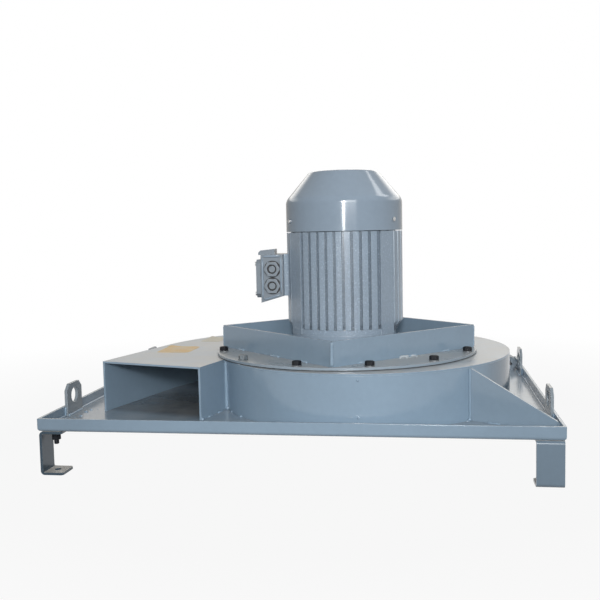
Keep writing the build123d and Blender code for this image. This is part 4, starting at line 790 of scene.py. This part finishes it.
# Stiffeners: four 50 mm flat bars on edge in a square set on its corner, welded up
# each corner and stitched along the foot to the motor plate.
stiffener_blue = (0.168, 0.233, 0.298, 1.0)
dress(gloss_paint("stiffener_gloss_paint", stiffener_blue, dust_and_sheen=0.1), "stiffener_front_left",
      "stiffener_front_right", "stiffener_back_right", "stiffener_back_left")
square_reach, bar_foot, bar_top, stitch_level = 281.0, 208, 255.5, 207.8
bar_welds = []
for quarter in range(4):
    a = quarter * pi / 2 - pi / 2
    out, along = np.array((cos(a), sin(a))), np.array((-sin(a), cos(a)))
    corner_point = np.array((fan_x, fan_y)) + square_reach * out
    bead = 3.4 if quarter == 0 else 2.2
    path = straight((*corner_point, bar_foot), (*corner_point, bar_top))
    bar_welds.append(bead_grid(path, bead, 9.0, seed=quarter))
    run = (along - out) / np.sqrt(2)
    for reach in (66, 190, 300):
        first = corner_point + 2.2 * out + run * reach
        last = first + run * (34 if reach == 190 else 22)
        path = straight((*first, stitch_level), (*last, stitch_level))
        bar_welds.append(bead_grid(path, 2.4, seed=reach))
fitted(surface_mesh("stiffener_welds", bar_welds), weld_paint, "paint")
# Rough welds on the front right bar's foot are paler: thin paint on the weld, and a painted
# glint.
rough_foot = np.array((fan_x, fan_y - square_reach - 3.0))
rough_run = np.array((1.0, 1.0)) / np.sqrt(2)
rough_welds = []
for start, end, height, size, seed in ((176, 201, 208, 2.6, 0.0), (207, 222, 207.6, 2.2, 1.0)):
    path = straight((*(rough_foot + start * rough_run), height),
                    (*(rough_foot + end * rough_run), height))
    rough_welds.append(bead_grid(path, size, 5.0, seed))
drops = [(170, 8, 2.4), (186, 12, 2.8), (197, 9, 2.0), (214, 11, 2.6), (232, 6, 2.0)]
for reach, aside, size in drops:
    spot = rough_foot + reach * rough_run + aside * np.array((rough_run[1], -rough_run[0]))
    rough_welds.append(blob_grid((*spot, 207.5), size, 0.6 * size))
fitted(surface_mesh("stiffener_rough_welds", rough_welds),
       gloss_paint("thin_weld_and_glint_paint", (0.33, 0.37, 0.4, 1.0), edge=0.4 * mm, peel=0.03,
                   gloss=0.3), "paint")

# Impeller: welded from 4 mm sheet on a cast-iron hub with six rivets, painted, and
# held on the shaft's end by a zinc-plated bolt and washer.
dress(gloss_paint("impeller_gloss_paint", dust_and_sheen=0.1), "impeller_back_plate", "impeller_blades",
      "impeller_shroud")
dress(steel("cast_iron", (0.2, 0.205, 0.21), (0.3, 0.3, 0.3), 0.5, 0.6), "impeller_hub")
dress(zinc, "impeller_hub_rivets", "impeller_bolt", "impeller_washer")

# Motor's inside: a ground steel shaft in two ball bearings, sheet steel cores, cast
# aluminium rings and copper windings, with a black rubber seal at the foot.
bright = steel("ground_steel", (0.56, 0.57, 0.58), (0.6, 0.6, 0.6), 0.22)
dress(bright, "motor_shaft", "impeller_key", "bearing_inner_rings", "bearing_outer_rings",
      "ball_set_lower", "ball_set_upper", "stator_core", "rotor_core")
dress(zinc, "bearing_spring")
black_rubber = rubber("black_rubber", (0.018, 0.018, 0.02))
dress(black_rubber, "shaft_seal")
dress(steel("cast_aluminium", (0.7, 0.7, 0.71), (0.75, 0.75, 0.75), 0.4), "rotor_end_rings")
dress(steel("enamelled_copper", (0.55, 0.24, 0.1), (0.7, 0.35, 0.2), 0.3, 0.9),
      "stator_windings")

# Motor casting: a fluted frame and two end shields of cast aluminium under grey
# gloss paint, grainy where the mould left its skin, with painted shade in the grooves.
motor_grey = (0.205, 0.26, 0.32, 1.0)
cast_paint = gloss_paint("cast_gloss_paint", motor_grey, edge=1.5 * mm, dust_and_sheen=0.1, wave=0.2,
                         peel=0.02, gloss=0.2, grain=0.05)


def groove_painted_shade(tree, place):
    """Painted shade in the frame's grooves: full below a radius from the shaft's axis, none
    above.
    """
    groove_bottom, groove_lip, depth = 122.3 * mm, 124.2 * mm, 0.8
    offset = put(tree, "VectorMath", {0: place, 1: (fan_x * mm, fan_y * mm, 0)},
                 operation="SUBTRACT").outputs[0]
    flat = put(tree, "VectorMath", {0: offset, 1: (1, 1, 0)}, operation="MULTIPLY").outputs[0]
    radius = put(tree, "VectorMath", {0: flat}, operation="LENGTH").outputs["Value"]
    return ranged(tree, radius, groove_bottom, groove_lip, depth, 0.0)


# Painted shade: the frame darkens in its grooves.
dress(gloss_paint("frame_cast_paint", motor_grey, edge=1.2 * mm, dust_and_sheen=0.1, wave=0.2,
                  peel=0.01, gloss=0.2, grain=0.2, painted_shade=groove_painted_shade), "motor_frame")
dress(cast_paint, "drive_end_shield", "upper_end_shield")
flange_circle, flange_top, flange_nut_seat = 132.5, 221, 192.4
flange_points = round_points(flange_circle, 45, 4)
fasteners("flange_bolts_threaded", [
    bolt_grid((x, y, flange_top), size=12, length=31, pitch=1.75) for x, y in flange_points],
    black_steel, "black_steel", "flange_bolts")
fasteners("flange_nuts_chamfered", [
    nut_grid((x, y, flange_nut_seat), 12) for x, y in flange_points],
    black_steel, "black_steel", "flange_nuts")
dress(black_steel, "shield_screws")

# Cooling fan and cowl: a black moulded fan under a pressed steel cowl in glossy
# motor grey, held by four small zinc-plated screws.
black_moulding = rubber("black_moulding", (0.03, 0.03, 0.033), 0.45)
dress(black_moulding, "cooling_fan")
dress(gloss_paint("cowl_gloss_paint", motor_grey, edge=1.0 * mm, dust_and_sheen=0.1, wave=0.15,
                  gloss=0.12), "fan_cowl")
dress(zinc, "cowl_screws")

# Terminal box: cast aluminium in a darker grey, with a raised border round its front,
# a black rubber seal under each gland, wider than the gland so that it also stands in
# for the shade round it, and its lid on small zinc-plated screws.  Inside are brass
# studs on a black block.
box_grey = (0.165, 0.195, 0.225, 1.0)
dress(gloss_paint("box_cast_paint", box_grey, edge=1.5 * mm, dust_and_sheen=0.1, wave=0.2, peel=0.02,
                  gloss=0.25, grain=0.05),
      "terminal_box", "terminal_box_lid", "cable_glands", "blanking_plugs")
dress(zinc, "lid_screws")
dress(black_rubber, "terminal_box_gasket")
box_front = -125.2
border = [(x, box_front, z) for x, z in ((-59, 415), (-100, 415), (-100, 319), (-59, 331))]
border_beads = [bead_grid(straight(*ends), 2.2, smooth_pitch)
                for ends in zip(border, border[1:] + border[:1])]
fitted(surface_mesh("terminal_box_border", border_beads), cast_paint, "motor_paint")
gland_x, gland_y, gland_levels = -78, -125, (350, 387)
# The seals reach past the glands: real seals, and a painted shade ring round each.
gland_seal_shade_rings = [disc_grid((gland_x, gland_y, z), radius=18.6, thickness=1.5, facing_front=True)
         for z in gland_levels]
fitted(surface_mesh("gland_seals_and_shade", gland_seal_shade_rings, crisp), black_rubber, "rubber")
dress(black_moulding, "terminal_block")
dress(steel("brass", (0.62, 0.42, 0.18), (0.7, 0.5, 0.25), 0.3), "terminal_studs")
